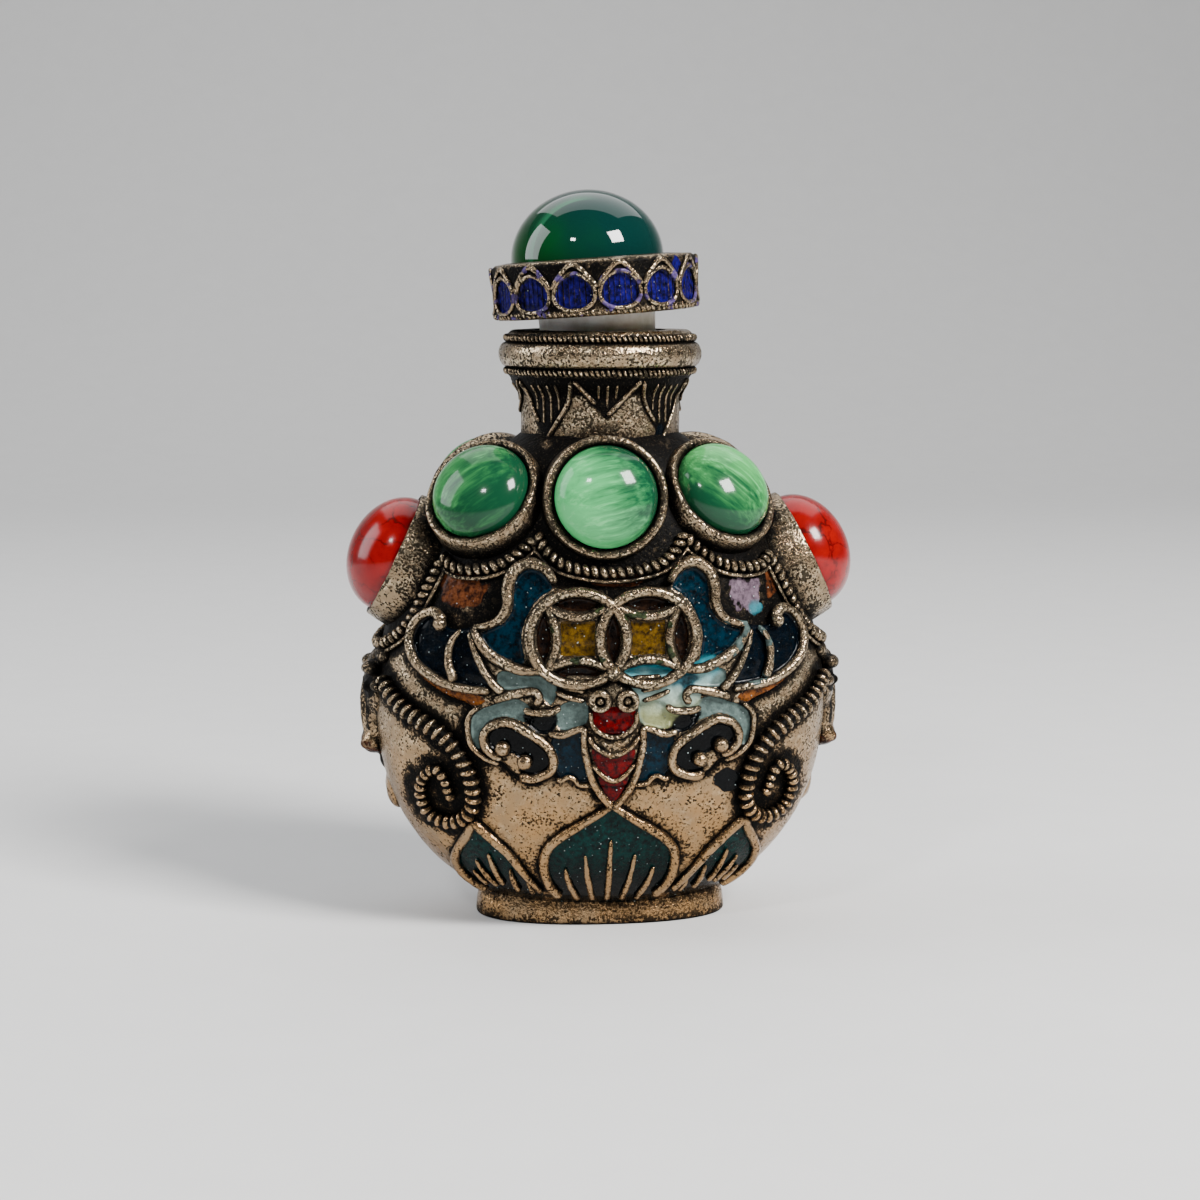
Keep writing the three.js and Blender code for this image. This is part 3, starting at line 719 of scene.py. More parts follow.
# Finishes
def metal_finish(settings):
    """Cast silver-gold alloy: bright where it is rubbed, black in the hollows, enamel where it is painted,
    with a painted reflection of warm wood low on the belly and painted white glints in the enamel.
    """
    shader = Shader("cast_metal")
    place = shader.place()
    height = shader.part(place, "Z")
    coarse = shader.grain(place, 2.6 * MM, 3.0)
    cloud = shader.grain(place, 0.8 * MM, 3.0, 0.6)
    fine = shader.grain(place, settings.speck_size, 2.0, 0.6)
    soot = shader.number("soot")
    shut = shader.enclosed(1.6)
    aloft = height.rise(14 * MM, 32 * MM)
    sooty = (shut * 1.5 + soot * 1.05 + aloft * 0.14 + (cloud - 0.5) * 1.3 + (coarse - 0.5) * 0.8).clamped()
    dust = shader.grain(place, 0.17 * MM, 1.0)
    black = sooty.rise(0.38, 0.68) * (1 - dust.rise(0.66, 0.70) * 0.7)
    speck = (fine + sooty * 0.45 + (coarse - 0.5) * 0.16).rise(0.61, 0.67)
    dotted = (coarse * 0.9 + cloud * 0.7 + sooty * 0.6 + aloft * 0.16).rise(0.66, 0.95)
    dots = (1 - shader.cells(place, settings.speck_size * 1.6).rise(0.22, 0.36)) * dotted
    dark = black.most(speck * 0.95).most(dots * 0.95)
    # A painted reflection of warm wood, low on the belly
    wood_reflection = (1 - height.rise(9 * MM, 24 * MM)) * (0.35 + coarse.rise(0.25, 0.6) * 0.65)
    plain = shader.mix((cloud * 0.6 + coarse * 0.4).rise(0.42, 0.7), settings.dull, settings.bright)
    plain = shader.mix(wood_reflection * 0.9, plain, settings.wood_reflection)
    metal = shader.mix(dark, plain, settings.patina)
    enamel = shader.number("enamel_amount")
    flow = shader.grain(place, 0.5 * MM, 3.0, 0.65)
    enamelled = shader.colour_of("enamel")
    mottle = flow.rise(0.3, 0.7) * (1 - shader.part(enamelled, "Y").rise(0.04, 0.2) * 0.75)
    glaze = shader.mix(mottle * 0.95, enamelled, DEEP_GLAZE)
    # Painted white glints in the enamel, as light caught in its pits
    painted_glint = 1 - shader.cells(place, 0.5 * MM).rise(0.07, 0.13)
    glaze = shader.mix(painted_glint * flow.rise(0.46, 0.52) * 0.8, glaze, PAINTED_GLINT_WHITE)
    painted = (enamel + (fine - 0.5) * 0.35).rise(0.42, 0.6)
    base = shader.mix(painted, metal, glaze)
    relief = cloud * 0.9 + fine * 0.55 - dark * 0.4 + painted * (flow - 0.5) * 0.5
    shader.set(
        base_color=base,
        metallic=(1 - dark) * (1 - painted),
        roughness=(0.21 + dark * 0.3 + (cloud - 0.5) * 0.2) * (1 - painted) + painted * 0.12,
        coat_weight=painted * 0.12,
        coat_roughness=0.04,
        specular_ior_level=0.04,
        normal=shader.bump(relief, 0.85, 0.14),
    )
    return shader.material


def green_finish(settings, pale):
    """Cat's-eye glass with silky fibres of a paler green, pale on its painted lit side and deep green on its
    painted shaded side.
    """
    shader = Shader("cats_eye_glass")
    place = shader.vector_of("stone_place")
    stretched = shader.node("ShaderNodeMapping", {}, {"Vector": place, "Scale": (1.0, 0.09, 1.0)}).outputs[0]
    silk = shader.grain(stretched, 0.42, 4.0, 0.62, 0.4)
    bands = shader.grain(stretched, 1.7, 2.0, 0.5, 0.6)
    cloud = shader.grain(place, 3.4, 2.0)
    painted_light = shader.number("painted_light")
    # The painted light and shade, with the silk's grain, take each point from deep green to pale green
    light = (painted_light + (silk - 0.5) * 0.9 + (bands - 0.5) * 0.7 + (cloud - 0.5) * 0.3).rise(0.0, 1.0)
    base = shader.mix(light, settings.green_deep, pale)
    # The brightest fibres show only where the painted light is strong
    base = shader.mix(silk.rise(0.52, 0.72) * painted_light.rise(0.2, 0.7) * 0.5, base, settings.green_silk)
    shader.set(base_color=base, roughness=0.16, coat_weight=0.3, coat_roughness=0.03, specular_ior_level=0.12)
    return shader.material


def red_finish(settings):
    """Polished red stone with faint dark veins."""
    shader = Shader("red_stone")
    place = shader.vector_of("stone_place")
    bend = shader.node("ShaderNodeTexNoise", {}, {"Vector": place, "Scale": 0.5, "Detail": 4.0})
    moved = shader.node("ShaderNodeVectorMath", {"operation": "MULTIPLY_ADD"},
        {0: bend.outputs["Color"], 1: (2.4, 2.4, 2.4), 2: place}).outputs[0]
    vein = 1 - shader.cells(moved, 3.2, "DISTANCE_TO_EDGE").rise(0.0, 0.05)
    cloud = shader.grain(place, 2.2, 4.0, 0.6)
    base = shader.mix(cloud.rise(0.3, 0.75), settings.red, RED_SHADE)
    base = shader.mix(vein * cloud.rise(0.35, 0.6) * 0.85, base, RED_VEIN)
    pits = shader.grain(place, 0.12, 2.0)
    shader.set(base_color=base, roughness=0.2, coat_weight=0.25, coat_roughness=0.1, specular_ior_level=0.2,
        normal=shader.bump(pits, 0.12, 0.05))
    return shader.material


def lid_stone_finish(settings):
    """Dark green translucent glass with painted light: lighter towards the left and low on the dome, and a
    painted glint along part of its rim.
    """
    shader = Shader("lid_glass")
    place = shader.vector_of("stone_place")
    x, z = shader.part(place, "X"), shader.part(place, "Z")
    cloud = shader.grain(place, 5.0, 2.0, 0.5, 0.5)
    # Painted light: lighter towards the left and low on the dome
    inner = (0.5 - x * 0.07 - z * 0.05 + (cloud - 0.5) * 0.5).rise(0.25, 1.0)
    rim = (x * x + z * z) ** 0.5
    base = shader.mix(inner, settings.lid_deep, settings.lid_green)
    # A painted glint along the left part of the rim
    rim_glint = rim.rise(5.1, 5.25) * (1 - rim.rise(5.25, 5.8)) * (1 - x.rise(-1.5, 1.5))
    base = shader.mix(rim_glint * 0.4, base, LID_GLINT)
    shader.set(base_color=base, roughness=0.05, coat_weight=0.55, coat_roughness=0.01,
        specular_ior_level=0.15)
    return shader.material


def plug_finish():
    """Pale, slightly waxy plastic."""
    shader = Shader("plug")
    place = shader.place()
    stain = shader.grain(place, 1.5 * MM, 3.0)
    base = shader.mix(stain.rise(0.35, 0.7), PLUG_STAINED, PLUG_CLEAN)
    scratch = shader.grain(place, 0.2 * MM, 2.0)
    shader.set(base_color=base, roughness=0.42, subsurface_weight=0.15,
        normal=shader.bump(scratch, 0.15, 0.05))
    return shader.material


def floor_finish():
    """Pale matt paper."""
    shader = Shader("floor")
    place = shader.place()
    tooth = shader.grain(place, 6 * MM, 4.0)
    base = shader.mix(tooth, FLOOR_DULL, FLOOR_PALE)
    shader.set(base_color=base, roughness=0.75)
    return shader.material


MATERIALS = {}


def material(name, maker, *settings):
    if name not in MATERIALS:
        MATERIALS[name] = maker(*settings)
    return MATERIALS[name]


def metal():
    return material("metal", metal_finish, bpy.context.scene.bottle_metal)


def add_cast(name, mesh, sharp=None):
    """Adds a piece of the body's casting."""
    return add_piece(name, mesh, metal(), ["bottle_body"], sharp)


# Properties
def colour(name, description, default):
    return FloatVectorProperty(name=name, description=description, default=default, subtype="COLOR", size=3,
        min=0, max=1)


class BottleMetal(bpy.types.PropertyGroup):
    bright: colour("Bright metal", "Colour of the rubbed metal", (0.70, 0.565, 0.37))
    dull: colour("Dull metal", "Colour of the metal between", (0.25, 0.18, 0.11))
    # Colour of the painted reflection of warm wood, low on the belly
    wood_reflection: colour("Warm metal", "Tint of the smooth metal low on the belly", (0.36, 0.205, 0.085))
    patina: colour("Patina", "Colour of the black in the hollows", (0.0014, 0.0012, 0.001))
    speck_size: FloatProperty(name="Speck size", description="Size of the dark specks", default=0.00024,
        unit="LENGTH")


class BottleEnamel(bpy.types.PropertyGroup):
    navy: colour("Navy", "Enamel of the outer wings", (0.0004, 0.0028, 0.0062))
    teal: colour("Teal", "Enamel of the crests and below the wings", (0.0002, 0.014, 0.027))
    black: colour("Black", "Enamel in the scrolls", (0.0003, 0.0006, 0.0008))
    celadon: colour("Celadon", "Pale enamel under the claws", (0.10, 0.145, 0.135))
    orange: colour("Orange", "Enamel under the wing curls", (0.21, 0.062, 0.009))
    amber: colour("Amber", "Enamel in the coins' squares", (0.12, 0.062, 0.004))
    olive: colour("Olive", "Enamel spilt on the coins' wires", (0.055, 0.075, 0.030))
    lavender: colour("Lavender", "Thin enamel over the lid's wires", (0.15, 0.10, 0.33))
    brown: colour("Brown", "Enamel in the coins' lenses", (0.022, 0.010, 0.005))
    red: colour("Red", "Enamel on the bat's body", (0.105, 0.0008, 0.0015))
    leaf: colour("Leaf green", "Enamel in the lotus petals", (0.0006, 0.026, 0.023))
    rust: colour("Rust", "Brown spots on the shoulders", (0.14, 0.042, 0.014))
    lilac: colour("Lilac", "The lilac spot on the right shoulder", (0.18, 0.125, 0.165))
    turquoise: colour("Turquoise", "Enamel spilt on to the right wing", (0.03, 0.17, 0.21))
    ultramarine: colour("Ultramarine", "Enamel in the lid's cells", (0.010, 0.003, 0.115))


class BottleStones(bpy.types.PropertyGroup):
    green_deep: colour("Deep green", "Shaded side of the green stones", (0.004, 0.045, 0.019))
    green_pale: colour("Pale green", "Lit side of the green stones", (0.065, 0.36, 0.095))
    green_mint: colour("Mint", "Lit side of the front middle stone", (0.075, 0.46, 0.15))
    green_silk: colour("Silk", "Brightest fibres of the green stones", (0.17, 0.58, 0.23))
    red: colour("Red", "Colour of the side stones", (0.245, 0.0004, 0.001))
    lid_deep: colour("Lid deep green", "Dark side of the lid's stone", (0.0004, 0.020, 0.017))
    lid_green: colour("Lid green", "Lit side of the lid's stone", (0.001, 0.052, 0.006))
    facets: IntProperty(name="Turning steps", description="Steps round each stone", default=72, min=24)


# The body's shell
def even_turns(count):
    """Turns round the body from -180 to 180 with finer steps on the front."""
    turn = np.linspace(-180, 180, 1441)
    line = around(turn, np.full(turn.shape, BELLY_Z))
    stride = np.linalg.norm(np.diff(line, axis=0), axis=1)
    ahead = np.abs(turn[1:]) < 75
    along = np.r_[0, np.cumsum(stride * np.where(ahead, 1.5, 1.0))]
    return np.interp(np.linspace(0, along[-1], count), along, turn)


def even_heights(count, bottom, top, inset):
    """Heights with even steps along the body's skin."""
    z = bottom + (top - bottom) * (1 - np.cos(np.linspace(0, math.pi, 400))) / 2
    half_width, half_depth = body_half(z, inset)
    along = travelled(np.stack([half_depth + 0.3 * half_width, z], axis=1))
    return np.interp(np.linspace(0, along[-1], count), along, z)


def body_skin(columns, rows, bottom, top, inset=0.0):
    """The body's skin, closed at both ends."""
    turns = even_turns(columns + 1)
    heights = even_heights(rows + 1, bottom, top, inset)

    def place(across, up):
        turn = np.interp(across, np.linspace(0, 1, columns + 1), turns)
        return around(turn, np.interp(up, np.linspace(0, 1, rows + 1), heights), 0.0, inset)

    return rolled(columns, rows, place)


def setting_distance(x, z, place):
    """Rough distance from points seen on the front to a green stone's setting."""
    return np.hypot(x - place["x"], z - place["z"] - 0.5) - GREEN["bezel"]


def paint_shell(mesh):
    enamel = bpy.context.scene.bottle_enamel
    points = points_of(mesh)
    x, z = points[:, 0].copy(), points[:, 2]
    behind = points[:, 1] > 0
    x[behind] *= -1
    paint = Paint(mesh, x, z)
    whole = smooth(both_sides(BAT_OUTLINE), 0.4, closed=True)
    paint.darken(outline_distance(x, z, whole), 1.0, 0.75)
    side = np.abs(x)
    for rim in (PETAL_RIM, SIDE_PETAL_RIM):
        line = smooth(rim, 1.0)
        outline = np.c_[seen_at(line[:, 0], line[:, 1]), line[:, 1]]
        base = [(outline[-1, 0], 1.5), (0 if rim is PETAL_RIM else outline[0, 0], 1.5)]
        distance = outline_distance(side, z, np.vstack([outline, base]))
        amount = paint.fill(distance, enamel.leaf, 0.15)
        paint.colour *= (1 - 0.95 * amount * (1 - step(3.5, 9.0, z)))[:, None]
        paint.darken(distance, 1.2, 0.55)
    paint.darken(line_distance(side, z, smooth(HORN, 0.6)) - 0.9, 1.1, 0.7)
    paint.darken(setting_distance(side, z, SIDE_STONE), 1.5, 0.95)
    paint.darken(setting_distance(side, z, CENTRE_STONE), 1.8, 0.95)
    for swag in (CENTRE_SWAG, STONE_SWAG, SIDE_SWAG):
        line = smooth(swag, 1.0)
        on_front = np.c_[seen_at(line[:, 0], line[:, 1]), line[:, 1]]
        paint.darken(line_distance(side, z, on_front) - 0.5, 1.2, 0.85)
    paint.darken(np.abs(np.hypot(points[:, 0], points[:, 1]) - NECK_RADIUS), 1.6, 0.8 * (z > 40))
    front = ~behind
    speckle = wander(points, 1.1, 3.0)
    paint.darken(np.hypot((side - 12) / 5.5, (z - 31) / 3.6) - 1 + 0.3 * speckle, 0.5, 0.55)
    dots = np.clip(wander(points, 0.35, 9.0), 0, 1)
    for name, outline, ragged, dotted, blur, strength in PATCHES:
        distance = np.where(front, outline_distance(x, z, outline), 9) + ragged * speckle + dotted * dots
        paint.fill(distance, getattr(enamel, name), blur, strength)
    for name, middle, half, ragged, strength in BLOTS:
        distance = np.hypot((x - middle[0]) / half[0], (z - middle[1]) / half[1]) - 1
        paint.fill(np.where(front, distance, 9) + ragged * speckle, getattr(enamel, name), 0.3, strength)
    paint.save()


class BuildShell(bpy.types.Operator):
    """The cast body: one wall of even thickness, hollow down to the foot and open at the neck"""

    bl_idname = "bottle.shell"
    bl_label = "Body shell"

    def execute(self, context):
        outer = body_skin(*SKIN_STEPS, BODY_BOTTOM_Z, BODY_TOP_Z)
        roughen(outer, 0.05, 2.2)
        bottom = BELLY_Z - LOWER_REACH + WALL + 0.6
        top = BELLY_Z + UPPER_REACH - WALL - 0.9
        room = body_skin(*ROOM_STEPS, bottom, top, WALL)
        bore = lathe([(0, 38), (BORE_RADIUS, 38), (BORE_RADIUS, 60), (0, 60)], 96)
        shell = cut_away(outer, [room, bore])
        paint_shell(shell)
        add_cast("bottle_shell", shell, 60)
        return {"FINISHED"}


class BuildFoot(bpy.types.Operator):
    """The oval foot with its flared edge and shallow recess"""

    bl_idname = "bottle.foot"
    bl_label = "Foot"

    def execute(self, context):
        top, rim, flare, recess = FOOT["height"], FOOT["rim"], FOOT["flare"], FOOT["recess"]
        corners = [(rim, recess), (rim, 0), (0, 0), (flare * 0.3, top * 0.55), (flare, top)]
        profile = np.array(eased(corners, 0.3))
        rows = len(profile) - 1

        def place(across, up):
            inset, z = profile[np.rint(up * rows).astype(int)].T
            s, c = np.sin(math.tau * across), np.cos(math.tau * across)
            power = 2 / SECTION_POWER
            x = (FOOT["half_width"] - inset) * np.sign(s) * np.abs(s) ** power
            y = (FOOT["half_depth"] - inset) * np.sign(c) * np.abs(c) ** power
            return np.stack([x, y, z], axis=1)

        foot = bare(rolled(160, rows, place))
        add_cast("foot", foot, 50)
        return {"FINISHED"}


# Neck and collar
def on_neck(turn, z, lift=0.0):
    """Points on the neck by turn and height; it flares into the collar above."""
    flare = 0.9 * step(CAVETTO_Z - 1.2, COLLAR["bottom"] - 0.3, z) ** 2
    radius = NECK_RADIUS + lift + flare
    s, c = np.sin(np.radians(turn)), np.cos(np.radians(turn))
    return np.stack([radius * s, -radius * c, z + 0 * s], axis=-1)


def neck_petal(index):
    """One side of a neck petal, hanging from the collar: turn from its middle and height."""
    if index % 2:
        return [(0, 44.1), (8, 45.5), (15.5, 46.9), (20, 48.4), (21.5, 49.3)]
    return [(0, 46.2), (8, 47.2), (15, 48.2), (21.5, 49.3)]


class BuildNeck(bpy.types.Operator):
    """Neck with its hanging petals, and the collar between two rows of beads"""

    bl_idname = "bottle.neck"
    bl_label = "Neck and collar"

    def execute(self, context):
        bottom, top, bulge, rope = COLLAR["bottom"], COLLAR["top"], COLLAR["bulge"], COLLAR["rope"]
        wall = [(NECK_RADIUS + 0.9 * float(step(CAVETTO_Z - 1.2, bottom - 0.3, z)) ** 2, z)
            for z in np.linspace(NECK_FOOT_Z, bottom - 0.3, 34)]
        bead = [(rope - 0.25, bottom), (rope - 0.25, bottom + 0.7)]
        barrel = [(bulge - 0.35, bottom + 0.8), (bulge, bottom + 1.5), (bulge, bottom + 2.2),
            (bulge - 0.3, bottom + 2.8)]
        lip = [(rope - 0.25, bottom + 3), (rope - 0.2, bottom + 3.65), (rope - 0.6, top), (BORE_RADIUS, top)]
        outline = wall + eased(bead + barrel + lip, 0.35) + [(BORE_RADIUS, NECK_FOOT_Z)]
        neck = lathe(outline, 220, closed=True)
        roughen(neck, 0.035, 1.4)
        points = points_of(neck)
        turn = np.degrees(np.arctan2(points[:, 0], -points[:, 1]))
        z = points[:, 2]
        outside = np.hypot(points[:, 0], points[:, 1]) > NECK_RADIUS - 0.3
        paint = Paint(neck, turn, z)
        pitch = 360 / NECK_PETALS
        for index in range(NECK_PETALS):
            away = (turn - index * pitch + 180) % 360 - 180
            half = neck_petal(index)
            whole = [(a * NECK_RADIUS * math.radians(1), b) for a, b in both_sides(half)]
            distance = outline_distance(away * NECK_RADIUS * math.radians(1), z, whole)
            paint.darken(np.where(outside, distance, 9), 0.5, 1.0)
        paint.darken(np.where(outside & (z < bottom - 0.1), CAVETTO_Z + 0.4 - z, 9), 0.8, 1.0)
        paint.darken(np.where(outside, np.abs(z - bottom - 0.35) - 0.2, 9), 0.4, 0.5)
        paint.darken(np.where(outside, np.abs(z - bottom - 3.2) - 0.2, 9), 0.4, 0.5)
        smudge = np.hypot((turn - 43) / 6, (z - 43.8) / 1.6) - 1
        paint.fill(np.where(outside, smudge, 9), context.scene.bottle_enamel.navy, 0.3)
        paint.save()
        add_cast("neck_collar", neck, 60)
        runs = []
        for index in range(NECK_PETALS):
            half = neck_petal(index)
            whole = smooth([(-a, b) for a, b in half[:0:-1]], 0.6)
            for line in (smooth(half, 0.6), whole):
                runs.append(wire(on_neck(line[:, 0] + index * pitch, line[:, 1], 0.05), [0.2, 0.22, 0.2]))
            for rib in ((-10, -3.5, 3.5, 10) if index % 2 else (-6, 0, 6)):
                low = np.interp(abs(rib), [p[0] for p in half], [p[1] for p in half]) + 0.7
                z_line = np.linspace(low, 48.9, 24)
                runs.append(wire(on_neck(np.full(24, rib + index * pitch), z_line, 0.0), [0.1, 0.13, 0.13]))
        add_cast("neck_petals", bare(tubes(runs)))
        places = []
        for height in (bottom + 0.36, bottom + 3.3):
            places += beads_round(COLLAR_BEADS, rope - 0.1, height, (0.2, 0.38, 0.3))
        add_cast("collar_beads", bare(beads(places)))
        return {"FINISHED"}


# Stones and their settings
def body_stones():
    """Every stone on the body: its node's name, its size, its place and the side it is on."""
    for face, front in (("front", 1), ("back", -1)):
        yield f"green_stone_{face}_centre", GREEN, CENTRE_STONE, 1, front
        yield f"green_stone_{face}_left", GREEN, SIDE_STONE, -1, front
        yield f"green_stone_{face}_right", GREEN, SIDE_STONE, 1, front
    yield "red_stone_left", RED, RED_STONE, -1, 1
    yield "red_stone_right", RED, RED_STONE, 1, 1


def seat(place, side, front):
    """Turns a form built along +Z to face out of the body at a stone's place, in millimetres."""
    turn, rise = math.radians(place["turn"]), math.radians(place["rise"])
    outward = Vector((side * math.sin(turn) * math.cos(rise), -front * math.cos(turn) * math.cos(rise),
        math.sin(rise)))
    spin = Vector((0, 0, 1)).rotation_difference(outward).to_matrix().to_4x4()
    shift = FRONT_ROW_SHIFT if front > 0 and place is not RED_STONE else 0
    return Matrix.Translation((side * place["x"] + shift, -front * place["y"], place["z"])) @ spin


def in_metres(matrix):
    return Matrix.Scale(MM, 4) @ matrix @ Matrix.Scale(1 / MM, 4)


def cabochon(size, steps, rows=14):
    """A domed stone with its lip at z = 0, which keeps its own coordinates for its grain."""
    radius, dome, girdle = size["radius"], size["dome"], size["girdle"]
    side = [(0, -girdle), (radius - 0.15, -girdle), (radius, -girdle + 0.15), (radius, 0)]
    angles = np.linspace(0, math.pi / 2, rows + 1)[1:]
    crown = [(radius * math.cos(a), dome * math.sin(a)) for a in angles[:-1]] + [(0, dome)]
    return lathe(side + crown, steps)


def keep_own_place(mesh, spin=0.0, depth=0.0, painted_light=PLAIN_PAINTED_LIGHT):
    """Stores each point's place on its stone, turned by spin, and the light and shade painted there: a slope,
    a level and a painted shaded crescent at the rim.
    """
    turn = np.array(Matrix.Rotation(spin, 3, "Z"))
    points = points_of(mesh)
    lay_attribute(mesh, "stone_place", "FLOAT_VECTOR", points @ turn.T + (0, 0, depth))
    across, up = points[:, :2].T / np.hypot(points[:, 0], points[:, 1]).max()
    slope = across * painted_light[0] + up * painted_light[1]
    # A painted shaded crescent along the rim towards the upper right
    shaded = 0.45 * step(0.82, 1.0, np.hypot(across, up)) * step(-0.3, 0.8, across * 0.8 + up * 0.6)
    lay_attribute(mesh, "painted_light", "FLOAT", painted_light[2] + slope - shaded)


def setting(size):
    """A sloped collar with a rolled lip that holds a stone."""
    bezel, radius, root = size["bezel"], size["radius"], size["root"]
    corners = [(radius + 0.08, -size["girdle"]), (radius + 0.1, 0.12), (bezel - 0.05, 0.28),
        (bezel + 0.12, -0.7), (bezel + size["flare"], -root), (radius - 1, -root),
        (radius - 1, -size["girdle"] - 0.25), (radius + 0.08, -size["girdle"] - 0.25)]
    return lathe(eased(corners, 0.32, closed=True), 96, closed=True)


class BuildSettings(bpy.types.Operator):
    """The eight bezels that hold the stones on the body"""

    bl_idname = "bottle.settings"
    bl_label = "Stone settings"

    def execute(self, context):
        for name, size, place, side, front in body_stones():
            mesh = setting(size)
            points = points_of(mesh)
            mesh.transform(in_metres(seat(place, side, front)))
            roughen(mesh, 0.05, 1.3)
            paint = Paint(mesh, points[:, 0], points[:, 2])
            outer = np.hypot(points[:, 0], points[:, 1]) > size["radius"] + 0.3
            paint.darken(np.where(outer, points[:, 2] + 1.5, 9), 1.2, 0.45 if size is GREEN else 0.2)
            paint.save()
            add_cast(name.replace("stone", "setting"), mesh, 60)
        return {"FINISHED"}


class BuildStones(bpy.types.Operator):
    """The six green and two red cabochons on the body"""

    bl_idname = "bottle.stones"
    bl_label = "Body stones"

    def execute(self, context):
        stones = context.scene.bottle_stones
        for i, (name, size, place, side, front) in enumerate(body_stones()):
            mesh = cabochon(size, stones.facets)
            spin, painted_light = FRONT_SILK_AND_LIGHT.get(name, (0.7 * i, PLAIN_PAINTED_LIGHT))
            keep_own_place(mesh, spin, 11.0 * i, painted_light)
            mesh.transform(in_metres(seat(place, side, front)))
            if size is RED:
                finish, slot = material("red", red_finish, stones), "red_stone"
            elif name == "green_stone_front_centre":
                finish, slot = material("mint", green_finish, stones, stones.green_mint), "green_stone"
            else:
                finish, slot = material("green", green_finish, stones, stones.green_pale), "green_stone"
            add_piece(name + "_polished", mesh, finish, [name], 60)
        return {"FINISHED"}


# Rope swags
def rope_lines():
    """The swags' lines on the front as turns and heights, and whether each also lies on the back."""
    mirror = [(-t, z) for t, z in CENTRE_SWAG[:0:-1]]
    side = SIDE_SWAG + [(180 - t, z) for t, z in SIDE_SWAG[-2::-1]]
    return [mirror + CENTRE_SWAG, STONE_SWAG, [(-t, z) for t, z in STONE_SWAG], side]


class BuildRope(bpy.types.Operator):
    """Beaded rope hung in swags under the stones, with a fine wire below it"""

    bl_idname = "bottle.rope"
    bl_label = "Rope swags"

    def execute(self, context):
        places, runs = [], []
        for line in rope_lines():
            fine = smooth(line, 1.0)
            on_body = smooth(around(fine[:, 0], fine[:, 1], ROPE_LIFT), BEAD_PITCH)
            outward = outward_at(on_body)
            forward = np.gradient(on_body, axis=0)
            for spot, ahead, out in zip(on_body, forward, outward):
                places.append(frame_at(spot, ahead, out, (0.36, 0.62, 0.5), 0.45))
            below = np.cross(forward, outward)
            below /= np.linalg.norm(below, axis=1)[:, None]
            below *= np.sign(-below[:, 2:3] + 1e-6)
            under = smooth(on_body + below * 0.78 - outward * 0.12, 0.3)
            runs.append(wire(under, [0.17, 0.2, 0.17]))
        rope = front_and_back(beads(places))
        roughen(rope, 0.05, 0.7)
        add_cast("rope_beads", bare(rope))
        add_cast("rope_wire", bare(front_and_back(tubes(runs))))
        return {"FINISHED"}


# The bat
def coin_arcs():
    """The lines of a coin seen from the front: its ring and the four arcs round a hollow-sided square."""
    turn = np.linspace(0, math.tau, 96, endpoint=False)
    middle, half = (COIN["x"], COIN["z"]), (COIN["wide"], COIN["high"])
    ring = np.stack([np.cos(turn), np.sin(turn)], axis=1) * half + middle
    along = np.linspace(-1, 1, 30)
    depth = COIN["arc"] + (COIN["reach"] - COIN["arc"]) * along**2
    arcs = []
    for quarter in range(4):
        c, s = round(math.cos(quarter * math.pi / 2)), round(math.sin(quarter * math.pi / 2))
        x = c * depth - s * along * COIN["reach"]
        z = s * depth + c * along * COIN["reach"]
        arcs.append(np.stack([COIN["x"] + x, COIN["z"] + z], axis=1))
    return ring, arcs


def field_masks(x, z):
    """Distance to each enamel field with the name of its colour, for points seen on the front."""
    side = np.abs(x)
    for name, mirrored_too, outline in FIELDS:
        yield name, outline_distance(side if mirrored_too else x, z, smooth(outline, 0.5, closed=True))


def coin_masks(x, z):
    """Distances to the coins' lens-shaped and square fields."""
    side = np.abs(x) - COIN["x"]
    high = z - COIN["z"]
    wide, tall, at = COIN_LENS["half_width"], COIN_LENS["half_height"], COIN_LENS["at"]
    lenses = np.full(x.shape, np.inf)
    for a, b in ((side - at, high), (side + COIN["x"], high), (high - at, side), (high + at, side)):
        lenses = np.minimum(lenses, (np.abs(a) / wide + (b / tall) ** 2 - 1) * wide * 0.7)
    square = np.maximum(np.abs(side), np.abs(high)) - COIN_SQUARE
    return lenses, square


def relief_lift(x, z, whole):
    """How far the bat's plate stands off the body at points seen on the front."""
    plate = 1 - step(-0.3, 0.22, outline_distance(x, z, whole))
    lift = -0.5 + (RELIEF_LIFT + 0.5) * plate
    for name, distance in field_masks(x, z):
        depth = SHALLOW_FIELD if name in ("red", "orange") else FIELD_DEPTH
        lift -= depth * (1 - step(-0.22, 0.12, distance)) * plate
    lenses, square = coin_masks(x, z)
    disc = np.hypot((np.abs(x) - COIN["x"]) / COIN["wide"], (z - COIN["z"]) / COIN["high"]) - 1
    lift += 0.22 * (1 - step(-0.02, 0.06, disc))
    lift -= LENS_DEPTH * (1 - step(-0.16, 0.1, lenses)) + FIELD_DEPTH * (1 - step(-0.1, 0.15, square))
    head = np.hypot(x / 2.6, (z - 22.3) / 2.0)
    lift += 0.45 * (1 - step(0.3, 1.0, head))
    body = np.abs(x) / np.interp(z, TRUNK["z"], TRUNK["half_width"])
    scale_rise = 0.28 * ((z * 0.42) % 1.0)
    trunk = step(12, 12.8, z) * (1 - step(20.8, 21.6, z))
    return lift + (0.75 - scale_rise) * np.sqrt(np.clip(1 - body**2, 0, 1)) * trunk


def wing_lines():
    """The bat's wires seen from the front, with their half widths, on both sides."""
    for widths, points in WING_WIRES:
        line = smooth(points)
        yield widths, line
        yield widths, line * (-1, 1)
    for rim in SHIELD_RIMS:
        yield [SHIELD_RIM * 0.8, SHIELD_RIM, SHIELD_RIM * 0.8], smooth(rim)


